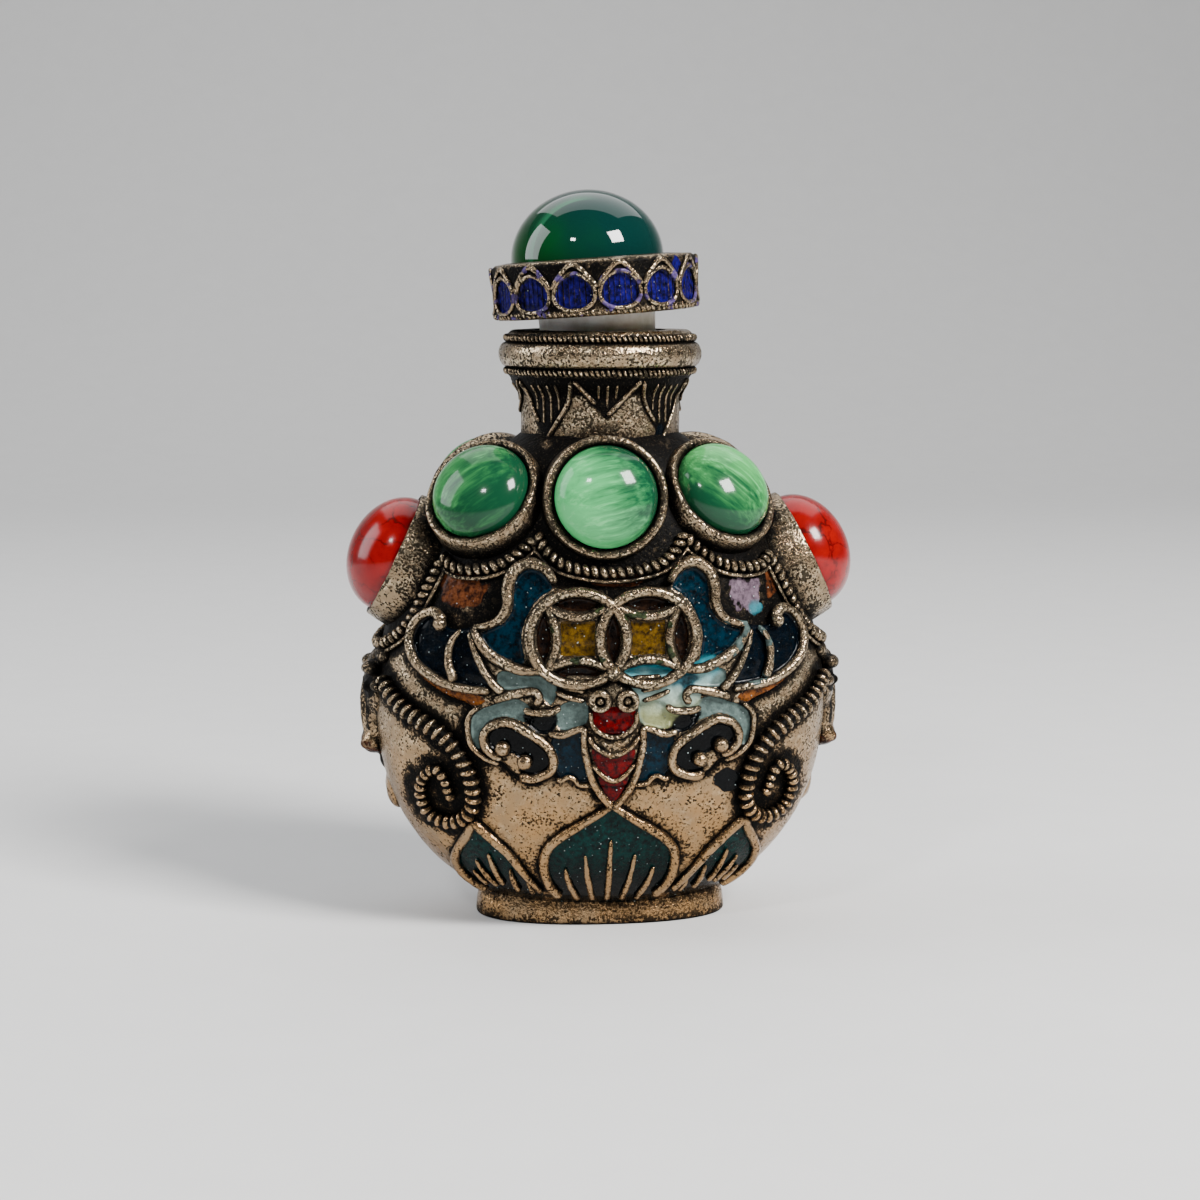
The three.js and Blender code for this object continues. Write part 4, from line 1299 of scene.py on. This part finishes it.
class BuildBat(bpy.types.Operator):
    """The bat: a raised plate with sunk enamel fields, plainer on the back"""

    bl_idname = "bottle.bat"
    bl_label = "Bat plate"

    def execute(self, context):
        for face, pitch in PLATE_PITCHES.items():
            mesh, x, z = self.plate(pitch)
            self.paint(mesh, x, z, face == "front", context.scene.bottle_enamel)
            if face == "back":
                mesh.transform(Matrix.Rotation(math.pi, 4, "Z"))
            add_cast(f"bat_{face}", mesh, 70)
        return {"FINISHED"}

    def plate(self, pitch):
        """A thin plate over the bat's outline, and where each of its points is seen."""
        whole = smooth(both_sides(BAT_OUTLINE), 0.35, closed=True)
        low, high = whole.min(axis=0) - 0.6, whole.max(axis=0) + 0.6
        columns, rows = (np.ceil((high - low) / pitch)).astype(int)
        bm = bmesh.new()
        bmesh.ops.create_grid(bm, x_segments=int(columns), y_segments=int(rows), size=1)
        grid = mesh_of(bm, "plate")
        seen = low + (high - low) * (points_of(grid)[:, :2] * MM / 2 + 0.5)
        outside = outline_distance(seen[:, 0], seen[:, 1], whole) > 0.3
        bm = bmesh.new()
        bm.from_mesh(grid)
        bm.verts.ensure_lookup_table()
        bmesh.ops.delete(bm, geom=[bm.verts[i] for i in np.flatnonzero(outside)], context="VERTS")
        bmesh.ops.delete(bm, geom=[v for v in bm.verts if not v.link_faces], context="VERTS")
        back = bm.verts.layers.float.new("back")
        inner = bmesh.ops.extrude_face_region(bm, geom=bm.faces[:], use_keep_orig=True)["geom"]
        for vert in (v for v in inner if isinstance(v, bmesh.types.BMVert)):
            vert[back] = 1.0
        mesh = mesh_of(bm, "plate")
        behind = np.empty(len(mesh.vertices), np.float32)
        mesh.attributes["back"].data.foreach_get("value", behind)
        seen = low + (high - low) * (points_of(mesh)[:, :2] * MM / 2 + 0.5)
        x, z = seen[:, 0], seen[:, 1]
        lift = np.where(behind > 0.5, -1.0, relief_lift(x, z, whole))
        lift += 0.03 * wander(np.c_[x, z, 0 * x], 0.9) * (behind < 0.5)
        move_points(mesh, facing(x, z, lift))
        bm = bmesh.new()
        bm.from_mesh(mesh)
        bmesh.ops.recalc_face_normals(bm, faces=bm.faces)
        return mesh_of(bm, "plate"), x, z

    def paint(self, mesh, x, z, front, enamel):
        """Enamel in the fields, and on the front the pale spill beside the bat's head."""
        paint = Paint(mesh, x, z)
        spot = np.c_[x, z, 0 * x]
        for name, distance in field_masks(x, z):
            paint.fill(distance, getattr(enamel, name), 0.09)
        lenses, square = coin_masks(x, z)
        disc = np.hypot((np.abs(x) - COIN["x"]) / COIN["wide"], (z - COIN["z"]) / COIN["high"]) - 1
        paint.wipe(1 - step(-0.02, 0.1, disc))
        paint.fill(square, enamel.amber, 0.08)
        paint.fill(lenses, enamel.brown, 0.08)
        if front:
            blot = wander(spot, 1.1, 2.0)
            spill = outline_distance(x, z, SPILL)
            heights = [height for _, height in SPILL_TONES[::-1]]
            mixed = np.stack([np.interp(z + 0.7 * blot, heights, [tone[i] for tone, _ in SPILL_TONES[::-1]])
                for i in range(3)], axis=1)
            amount = paint.fill(spill + 0.25 * blot, (0, 0, 0), 0.25, 0.92)
            paint.colour += mixed * amount[:, None]
            (across, up), (wide, high) = SPILL_BLOT["middle"], SPILL_BLOT["half"]
            deep = np.hypot((x - across) / wide, (z - up) / high) - 1
            paint.fill(deep + 0.5 * wander(spot, 0.7, 5.0), SPILL_BLOT["tone"], 0.3, 0.9)
        whole = smooth(both_sides(BAT_OUTLINE), 0.5, closed=True)
        paint.darken(-outline_distance(x, z, whole) - 0.1, 0.3, 0.5)
        for _, line in wing_lines():
            close = line_distance(x, z, line[::3]) - 0.35
            paint.darken(close, 0.35, 0.4)
        paint.save()


class BuildBatWires(bpy.types.Operator):
    """The bat's raised wires, its two coins, its eyes, nose and scroll ends"""

    bl_idname = "bottle.bat_wires"
    bl_label = "Bat wires"

    def execute(self, context):
        runs = []
        for widths, line in wing_lines():
            raised = RELIEF_LIFT + self.swell(line)
            runs.append(wire(facing(line[:, 0], line[:, 1], raised), widths))
        wires = tubes(runs)
        roughen(wires, 0.06, 0.8)
        wires = front_and_back(wires)
        self.tint(wires, (11.8, 26, 3.4, 3.6), context.scene.bottle_enamel.celadon, 0.1)
        add_cast("bat_wires", wires)
        ring, arcs = coin_arcs()
        runs = []
        for side in (-1, 1):
            line = ring * (side, 1)
            runs.append(wire(facing(line[:, 0], line[:, 1], RELIEF_LIFT + 0.3), [COIN["wire"]] * 2, True))
            for arc in arcs:
                line = arc * (side, 1)
                runs.append(wire(facing(line[:, 0], line[:, 1], RELIEF_LIFT + 0.2), [0.34, 0.42, 0.34]))
            turn = np.linspace(0, math.tau, 40, endpoint=False)
            x = side * EYE["x"] + EYE["radius"] * np.cos(turn)
            z = EYE["z"] + EYE["radius"] * np.sin(turn)
            runs.append(wire(facing(x, z, RELIEF_LIFT + 0.75), [EYE["wire"]] * 2, True))
        coins = tubes(runs)
        roughen(coins, 0.05, 0.8)
        coins = front_and_back(coins)
        self.tint(coins, (0, 27.3, 6.6, 3.2), context.scene.bottle_enamel.olive, 0.2)
        add_cast("coins", coins)
        places = []
        for x, z, radius in [*SCROLL_BALLS, *[(-x, z, r) for x, z, r in SCROLL_BALLS], NOSE,
                (EYE["x"], EYE["z"], 0.36), (-EYE["x"], EYE["z"], 0.36)]:
            lift = RELIEF_LIFT + (0.62 if abs(x) < 2 else 0.1)
            places.append(Matrix.Translation(facing(x, z, lift)) @ Matrix.Scale(radius, 4))
        add_cast("bat_beads", bare(front_and_back(beads(places, 4))))
        return {"FINISHED"}

    def tint(self, mesh, spot, colour, least):
        """Patches of spilt enamel on the front's wires, within an oval given by its middle and half sizes."""
        points = points_of(mesh)
        x, z = points[:, 0], points[:, 2]
        paint = Paint(mesh, x, z)
        oval = np.hypot((x - spot[0]) / spot[2], (z - spot[1]) / spot[3]) - 1
        patches = least - wander(points, 0.9, 7.0)
        paint.fill(np.where(points[:, 1] < 0, np.maximum(oval, patches), 9), colour, 0.15, 0.8)
        paint.save()

    def swell(self, line):
        """Extra lift for a line where it crosses the bat's body or head."""
        x, z = line[:, 0], line[:, 1]
        trunk = np.sqrt(np.clip(1 - (x / 2.9) ** 2, 0, 1)) * (z < 21.6)
        head = 0.4 * (1 - step(0.3, 1.1, np.hypot(x / 2.8, (z - 22.3) / 2.2)))
        return 0.08 + 0.5 * trunk + head


# Horns and rams' heads
class BuildHorns(bpy.types.Operator):
    """Four ribbed horns that curl from the rams' heads on to the front and back"""

    bl_idname = "bottle.horns"
    bl_label = "Horns"

    def execute(self, context):
        runs, places = [], []
        for side in (-1, 1):
            line = smooth(HORN, 0.12)
            points = facing(side * line[:, 0], line[:, 1], HORN_LIFT)
            along = travelled(points)
            share = np.linspace(0, 1, len(HORN_WIDTHS))
            width = np.interp(along / along[-1], share, HORN_WIDTHS)
            runs.append((points, width * 0.72, False))
            at = 0.2
            while at < along[-1]:
                spot = np.array([np.interp(at, along, points[:, i]) for i in range(3)])
                ahead = np.array([np.interp(at + 0.1, along, points[:, i]) for i in range(3)]) - spot
                if at > along[-1] - 0.1:
                    ahead = points[-1] - points[-2]
                half = np.interp(at / along[-1], share, HORN_WIDTHS)
                outward = outward_at(spot[None, :])[0]
                places.append(frame_at(spot, ahead, outward, (0.35, half, half), 0.12 * side))
                at += RIB_PITCH * (0.45 + 0.55 * half / HORN_WIDTHS[0])
        core = front_and_back(tubes(runs, 3))
        paint = Paint(core, *points_of(core)[:, ::2].T)
        paint.darken(np.zeros(len(core.vertices)), 1.0, 1.0)
        paint.save()
        add_cast("horn_cores", core)
        ribs = front_and_back(beads(places, 3))
        roughen(ribs, 0.05, 0.8)
        add_cast("horn_ribs", bare(ribs))
        return {"FINISHED"}


class BuildRams(bpy.types.Operator):
    """A ram's head on each side, worn smooth"""

    bl_idname = "bottle.rams"
    bl_label = "Rams' heads"

    def execute(self, context):
        for side, name in ((-1, "left"), (1, "right")):
            bm = bmesh.new()
            for at, half in RAM:
                for y in {at[1], -at[1]}:
                    place = Matrix.Translation((side * at[0], y, at[2])) @ Matrix.Diagonal((*half, 1))
                    bmesh.ops.create_uvsphere(bm, u_segments=32, v_segments=18, radius=1,
                        matrix=Matrix.Scale(MM, 4) @ place)
            head = applied(mesh_of(bm, "head"), ("REMESH", {"mode": "VOXEL", "voxel_size": 0.15 * MM}),
                ("SMOOTH", {"factor": 0.5, "iterations": 3}))
            roughen(head, 0.07, 0.9)
            points = points_of(head)
            y, z = points[:, 1], points[:, 2]
            paint = Paint(head, y, z)
            speckle = wander(points, 1.0, 4.0)
            paint.darken(18.6 - z + 1.6 * speckle, 1.2, 0.3)
            from_eye = np.hypot(np.abs(y) - RAM_EYE["y"], z - RAM_EYE["z"])
            paint.darken(np.abs(from_eye - RAM_EYE["socket"]) - 0.2, 0.4, 0.9)
            beyond_nose = (z < RAM_NOSE["bottom"]) | (z > RAM_NOSE["top"])
            paint.darken(np.abs(np.abs(y) - RAM_NOSE["half_width"]) - 0.15 + 2 * beyond_nose, 0.4, 0.7)
            paint.darken(np.abs(z - 14.7) - 0.4, 0.8, 0.9)
            out, up = y / RAM_MUZZLE["half_width"], (z - RAM_MUZZLE["z"]) / RAM_MUZZLE["half_height"]
            paint.fill(np.hypot(out, up) - 1 + 0.45 * speckle, context.scene.bottle_enamel.rust, 0.5, 0.6)
            paint.save()
            add_cast(f"ram_head_{name}", head)
        return {"FINISHED"}


class BuildPetals(bpy.types.Operator):
    """Lotus petals round the foot: thick rims with fine ribs inside"""

    bl_idname = "bottle.petals"
    bl_label = "Lotus petals"

    def execute(self, context):
        rims, ribs = [], []
        for mirror in (1, -1):
            rims.append([(mirror * t, z) for t, z in PETAL_RIM])
            rims.append([(mirror * t, z) for t, z in SIDE_PETAL_RIM])
            ribs.extend([(mirror * t, z) for t, z in rib] for rib in PETAL_RIBS[1:] + SIDE_PETAL_RIBS)
        ribs.append(PETAL_RIBS[0])
        runs = []
        for lines, widths in ((rims, [0.34, PETAL_WIDTH, PETAL_WIDTH, PETAL_WIDTH]),
                (ribs, [RIB_WIDTH * 0.55, RIB_WIDTH, RIB_WIDTH])):
            for line in lines:
                turned = smooth(line, 1.0)
                path = smooth(around(turned[:, 0], turned[:, 1], 0.15))
                runs.append(wire(path, widths))
        petals = tubes(runs)
        roughen(petals, 0.06, 0.9)
        add_cast("lotus_petals", bare(front_and_back(petals)))
        return {"FINISHED"}


# The lid
def lid_place():
    tilt = Matrix.Rotation(math.radians(-LID["tilt"]), 4, "Y")
    return Matrix.Translation((LID["x"], 0, LID["bottom"])) @ tilt


def on_lid(across, z, lift=0.0):
    """Points on the lid's wall by distance round it, from the front, and height above its underside."""
    turn = np.asarray(across) / LID["radius"]
    radius = LID["radius"] + lift
    return np.stack(np.broadcast_arrays(radius * np.sin(turn), -radius * np.cos(turn), z), axis=-1)


class BuildLid(bpy.types.Operator):
    """The lid: a metal ring with enamelled cells, its stone and the stopper below"""

    bl_idname = "bottle.lid"
    bl_label = "Lid"

    def execute(self, context):
        place = in_metres(lid_place())
        radius, height = LID["radius"] - 0.12, LID["height"]
        inner = LID_STONE["radius"] + 0.06
        floor = height - LID_STONE["girdle"] - 0.1
        socket = STEM["top"] + 0.3
        wall = [(radius, z) for z in np.linspace(0.35, height - 0.35, 40)]
        rim = [(radius - 0.35, height - 0.05), (inner + 0.25, height + 0.1), (inner, height - 0.1)]
        corners = [(radius - 0.35, 0.05)] + wall + rim + [(inner, floor), (0, floor)]
        under = [(0, STEM["socket"] + 0.3), (socket, STEM["socket"] + 0.3), (socket, 0.0)]
        ring = lathe(under + corners, LID_STEPS)
        points = points_of(ring)
        around_stone = (np.hypot(points[:, 0], points[:, 1]) < inner + 0.3) & (points[:, 2] > floor - 0.01)
        points[around_stone, 0] += LID_STONE["x"]
        move_points(ring, points)
        self.paint_cells(ring, context.scene.bottle_enamel)
        ring.transform(place)
        add_piece("lid_ring_cast", ring, metal(), ["lid_ring"], 60)
        milling = beads_round(LID_BEADS, LID["radius"] - 0.22, 0.42, (0.2, 0.34, 0.26))
        trim = joined(tubes(self.wires()), beads(milling))
        trim.transform(place)
        roughen(trim, 0.04, 0.7)
        points = points_of(trim)
        paint = Paint(trim, points[:, 0], points[:, 2])
        paint.fill(0.12 - wander(points, 1.0, 6.0), context.scene.bottle_enamel.lavender, 0.25, 0.6)
        paint.save()
        add_piece("lid_trim", trim, metal())
        stones = context.scene.bottle_stones
        dome = cabochon(LID_STONE, 128, 28)
        keep_own_place(dome)
        dome.transform(place @ in_metres(Matrix.Translation((LID_STONE["x"], 0, height))))
        add_piece("lid_stone_polished", dome, material("lid stone", lid_stone_finish, stones),
            ["lid_stone"], 60)
        top, end, length, socket = STEM["top"], STEM["end"], STEM["length"], STEM["socket"]
        corners = [(0, socket - length), (end, socket - length), (top, 0), (top, socket), (0, socket)]
        stem = lathe(eased(corners, 0.4), 96)
        stem.transform(place)
        add_piece("stopper", stem, material("plug", plug_finish), ["stopper_stem"], 60)
        return {"FINISHED"}

    def cell_starts(self):
        pitch = math.tau * LID["radius"] / LID_CELLS
        return [(i + LID_CELL_START) * pitch for i in range(LID_CELLS)], pitch

    def paint_cells(self, ring, enamel):
        """Sinks and enamels the arched cells round the ring."""
        points = points_of(ring)
        across = np.arctan2(points[:, 0], -points[:, 1]) * LID["radius"]
        z = points[:, 2]
        outside = np.hypot(points[:, 0], points[:, 1]) > LID["radius"] - 0.5
        wall = outside & (z > 0.3) & (z < LID["height"] - 0.3)
        paint = Paint(ring, across, z)
        sink = np.zeros(len(z))
        starts, pitch = self.cell_starts()
        round_lid = math.tau * LID["radius"]
        outline = smooth(LID_CELL, 0.3, closed=True)
        for start in starts:
            away = (across - start + round_lid / 2) % round_lid - round_lid / 2
            distance = np.where(wall, outline_distance(away, z, outline), 9)
            rib = np.cos(math.tau * away / LID_RIB_PITCH)
            bare_rib = step(0.55, 0.95, rib) * step(0.9, 1.2, z) * 0.75
            paint.fill(distance, enamel.ultramarine, 0.08)
            paint.mask = paint.mask * (1 - bare_rib * (distance < 0))
            sink = np.maximum(sink, (1 - step(-0.15, 0.12, distance)) * (1 - 0.3 * bare_rib))
            between = (away - pitch / 2)
            tent = np.where(wall, np.abs(between) * 1.1 + np.abs(z - 4.1) - 0.7, 9)
            paint.darken(tent, 0.3, 0.8)
            if 5 < start + pitch / 2 < 10:
                paint.fill(tent - 0.1, enamel.ultramarine, 0.12)
        paint.darken(np.where(wall, 0.75 - z, 9), 0.3, 0.5)
        paint.darken(np.where(wall & (z > 2.6), across + 3.4, 9), 1.0, 0.6)
        outward = points * (1, 1, 0) / np.maximum(np.hypot(points[:, 0], points[:, 1]), 1e-6)[:, None]
        move_points(ring, points - outward * (0.28 * sink)[:, None])
        paint.save()

    def wires(self):
        starts, pitch = self.cell_starts()
        arch = smooth(LID_CELL, 0.18, closed=True)
        runs = []
        for start in starts:
            runs.append(wire(on_lid(arch[:, 0] * 1.06 + start, arch[:, 1] * 1.02, -0.1), [0.2, 0.2], True))
            tent = smooth([(-pitch / 2, 2.5), (-1.3, 3.6), (0, 4.6), (1.3, 3.6), (pitch / 2, 2.5)], 0.18)
            runs.append(wire(on_lid(tent[:, 0] + start, tent[:, 1], -0.06), [0.2, 0.25, 0.2]))
        return runs


# Floor, light and camera

# The floor's half width, its near edge, its flat run, the radius of its bend and its whole length
FLOOR = (1600, -600, 1000, 300, 1800)
WORLD = {"tint": (0.62, 0.66, 0.70), "strength": 0.13}
# Lights, aimed at the bottle: name, place, size, watts and tint
LIT_HEIGHT = 30
LIGHTS = [
    ("key", (260, -250, 330), (150, 150), 5.6, (1, 0.98, 0.95)),
    ("front", (-165, -290, 290), (46, 34), 0.5, (1, 1, 1)),
    ("left", (-460, 60, 240), (260, 380), 2.0, (0.93, 0.96, 1)),
    ("above", (40, 260, 520), (700, 500), 2.2, (1, 1, 1)),
]
# Camera: place, view across in degrees, and turns to the right and down in degrees
CAMERA = {"place": (-19.35, -221.16, 58.48), "angle": 27.63, "yaw": 5, "pitch": 7.587}


class BuildStage(bpy.types.Operator):
    """A pale floor that sweeps up behind the bottle, soft studio light and the camera"""

    bl_idname = "bottle.stage"
    bl_label = "Stage"

    def execute(self, context):
        self.floor()
        self.lights(context.scene)
        self.camera(context.scene)
        return {"FINISHED"}

    def floor(self):
        bm = bmesh.new()
        bmesh.ops.create_grid(bm, x_segments=1, y_segments=60, size=1)
        mesh = mesh_of(bm, "floor")
        half_width, near, flat, bend, length = FLOOR
        share = points_of(mesh) * MM
        along = (share[:, 1] + 1) / 2 * length
        sweep = np.clip((along - flat) / bend, 0, math.pi / 2)
        y = np.minimum(along, flat) + near + bend * np.sin(sweep)
        z = bend * (1 - np.cos(sweep)) + np.maximum(along - flat - bend * math.pi / 2, 0)
        move_points(mesh, np.stack([share[:, 0] * half_width, y, z], axis=1))
        mesh.materials.append(material("floor", floor_finish))
        mesh.polygons.foreach_set("use_smooth", np.ones(len(mesh.polygons), bool))
        floor = bpy.data.objects.new("floor", mesh)
        bpy.context.collection.objects.link(floor)

    def lights(self, scene):
        world = bpy.data.worlds.new("studio")
        world.use_nodes = True
        world.node_tree.nodes["Background"].inputs["Color"].default_value = (*WORLD["tint"], 1)
        world.node_tree.nodes["Background"].inputs["Strength"].default_value = WORLD["strength"]
        scene.world = world
        target = Vector((0, 0, LIT_HEIGHT)) * MM
        for name, spot, size, power, tint in LIGHTS:
            lamp = bpy.data.lights.new(name, "AREA")
            lamp.shape = "RECTANGLE"
            lamp.size, lamp.size_y = size[0] * MM, size[1] * MM
            lamp.energy = power
            lamp.color = tint
            light = bpy.data.objects.new(name, lamp)
            light.location = Vector(spot) * MM
            light.rotation_euler = (target - light.location).to_track_quat("-Z", "Y").to_euler()
            bpy.context.collection.objects.link(light)

    def camera(self, scene):
        """The photograph's view: a little from the left, looking slightly down."""
        lens = bpy.data.cameras.new("camera")
        lens.lens_unit = "FOV"
        lens.sensor_width = 36
        lens.angle = math.radians(CAMERA["angle"])
        lens.clip_start = 0.005
        camera = bpy.data.objects.new("camera", lens)
        yaw, pitch = math.radians(CAMERA["yaw"]), math.radians(CAMERA["pitch"])
        camera.location = Vector(CAMERA["place"]) * MM
        camera.rotation_euler = (math.pi / 2 - pitch, 0, -yaw)
        bpy.context.collection.objects.link(camera)
        scene.camera = camera


BUILDERS = (BuildStage, BuildShell, BuildFoot, BuildNeck, BuildSettings, BuildStones, BuildRope, BuildBat,
    BuildBatWires, BuildHorns, BuildRams, BuildPetals, BuildLid)


class BottlePanel(bpy.types.Panel):
    """Builds the bottle piece by piece"""

    bl_idname = "VIEW3D_PT_bottle"
    bl_label = "Snuff bottle"
    bl_space_type = "VIEW_3D"
    bl_region_type = "UI"
    bl_category = "Bottle"

    def draw(self, context):
        for group in (context.scene.bottle_metal, context.scene.bottle_enamel, context.scene.bottle_stones):
            column = self.layout.column()
            for key in group.bl_rna.properties.keys():
                if key not in ("rna_type", "name"):
                    column.prop(group, key)
        for builder in BUILDERS:
            self.layout.operator(builder.bl_idname)


GROUPS = {"bottle_metal": BottleMetal, "bottle_enamel": BottleEnamel, "bottle_stones": BottleStones}


def register():
    for kind in (*GROUPS.values(), *BUILDERS, BottlePanel):
        bpy.utils.register_class(kind)
    for name, kind in GROUPS.items():
        setattr(bpy.types.Scene, name, PointerProperty(type=kind))


def unregister():
    for name in GROUPS:
        delattr(bpy.types.Scene, name)
    for kind in reversed((*GROUPS.values(), *BUILDERS, BottlePanel)):
        bpy.utils.unregister_class(kind)


def main():
    register()
    for builder in BUILDERS:
        family, action = builder.bl_idname.split(".")
        getattr(getattr(bpy.ops, family), action)()


if __name__ == "__main__":
    main()
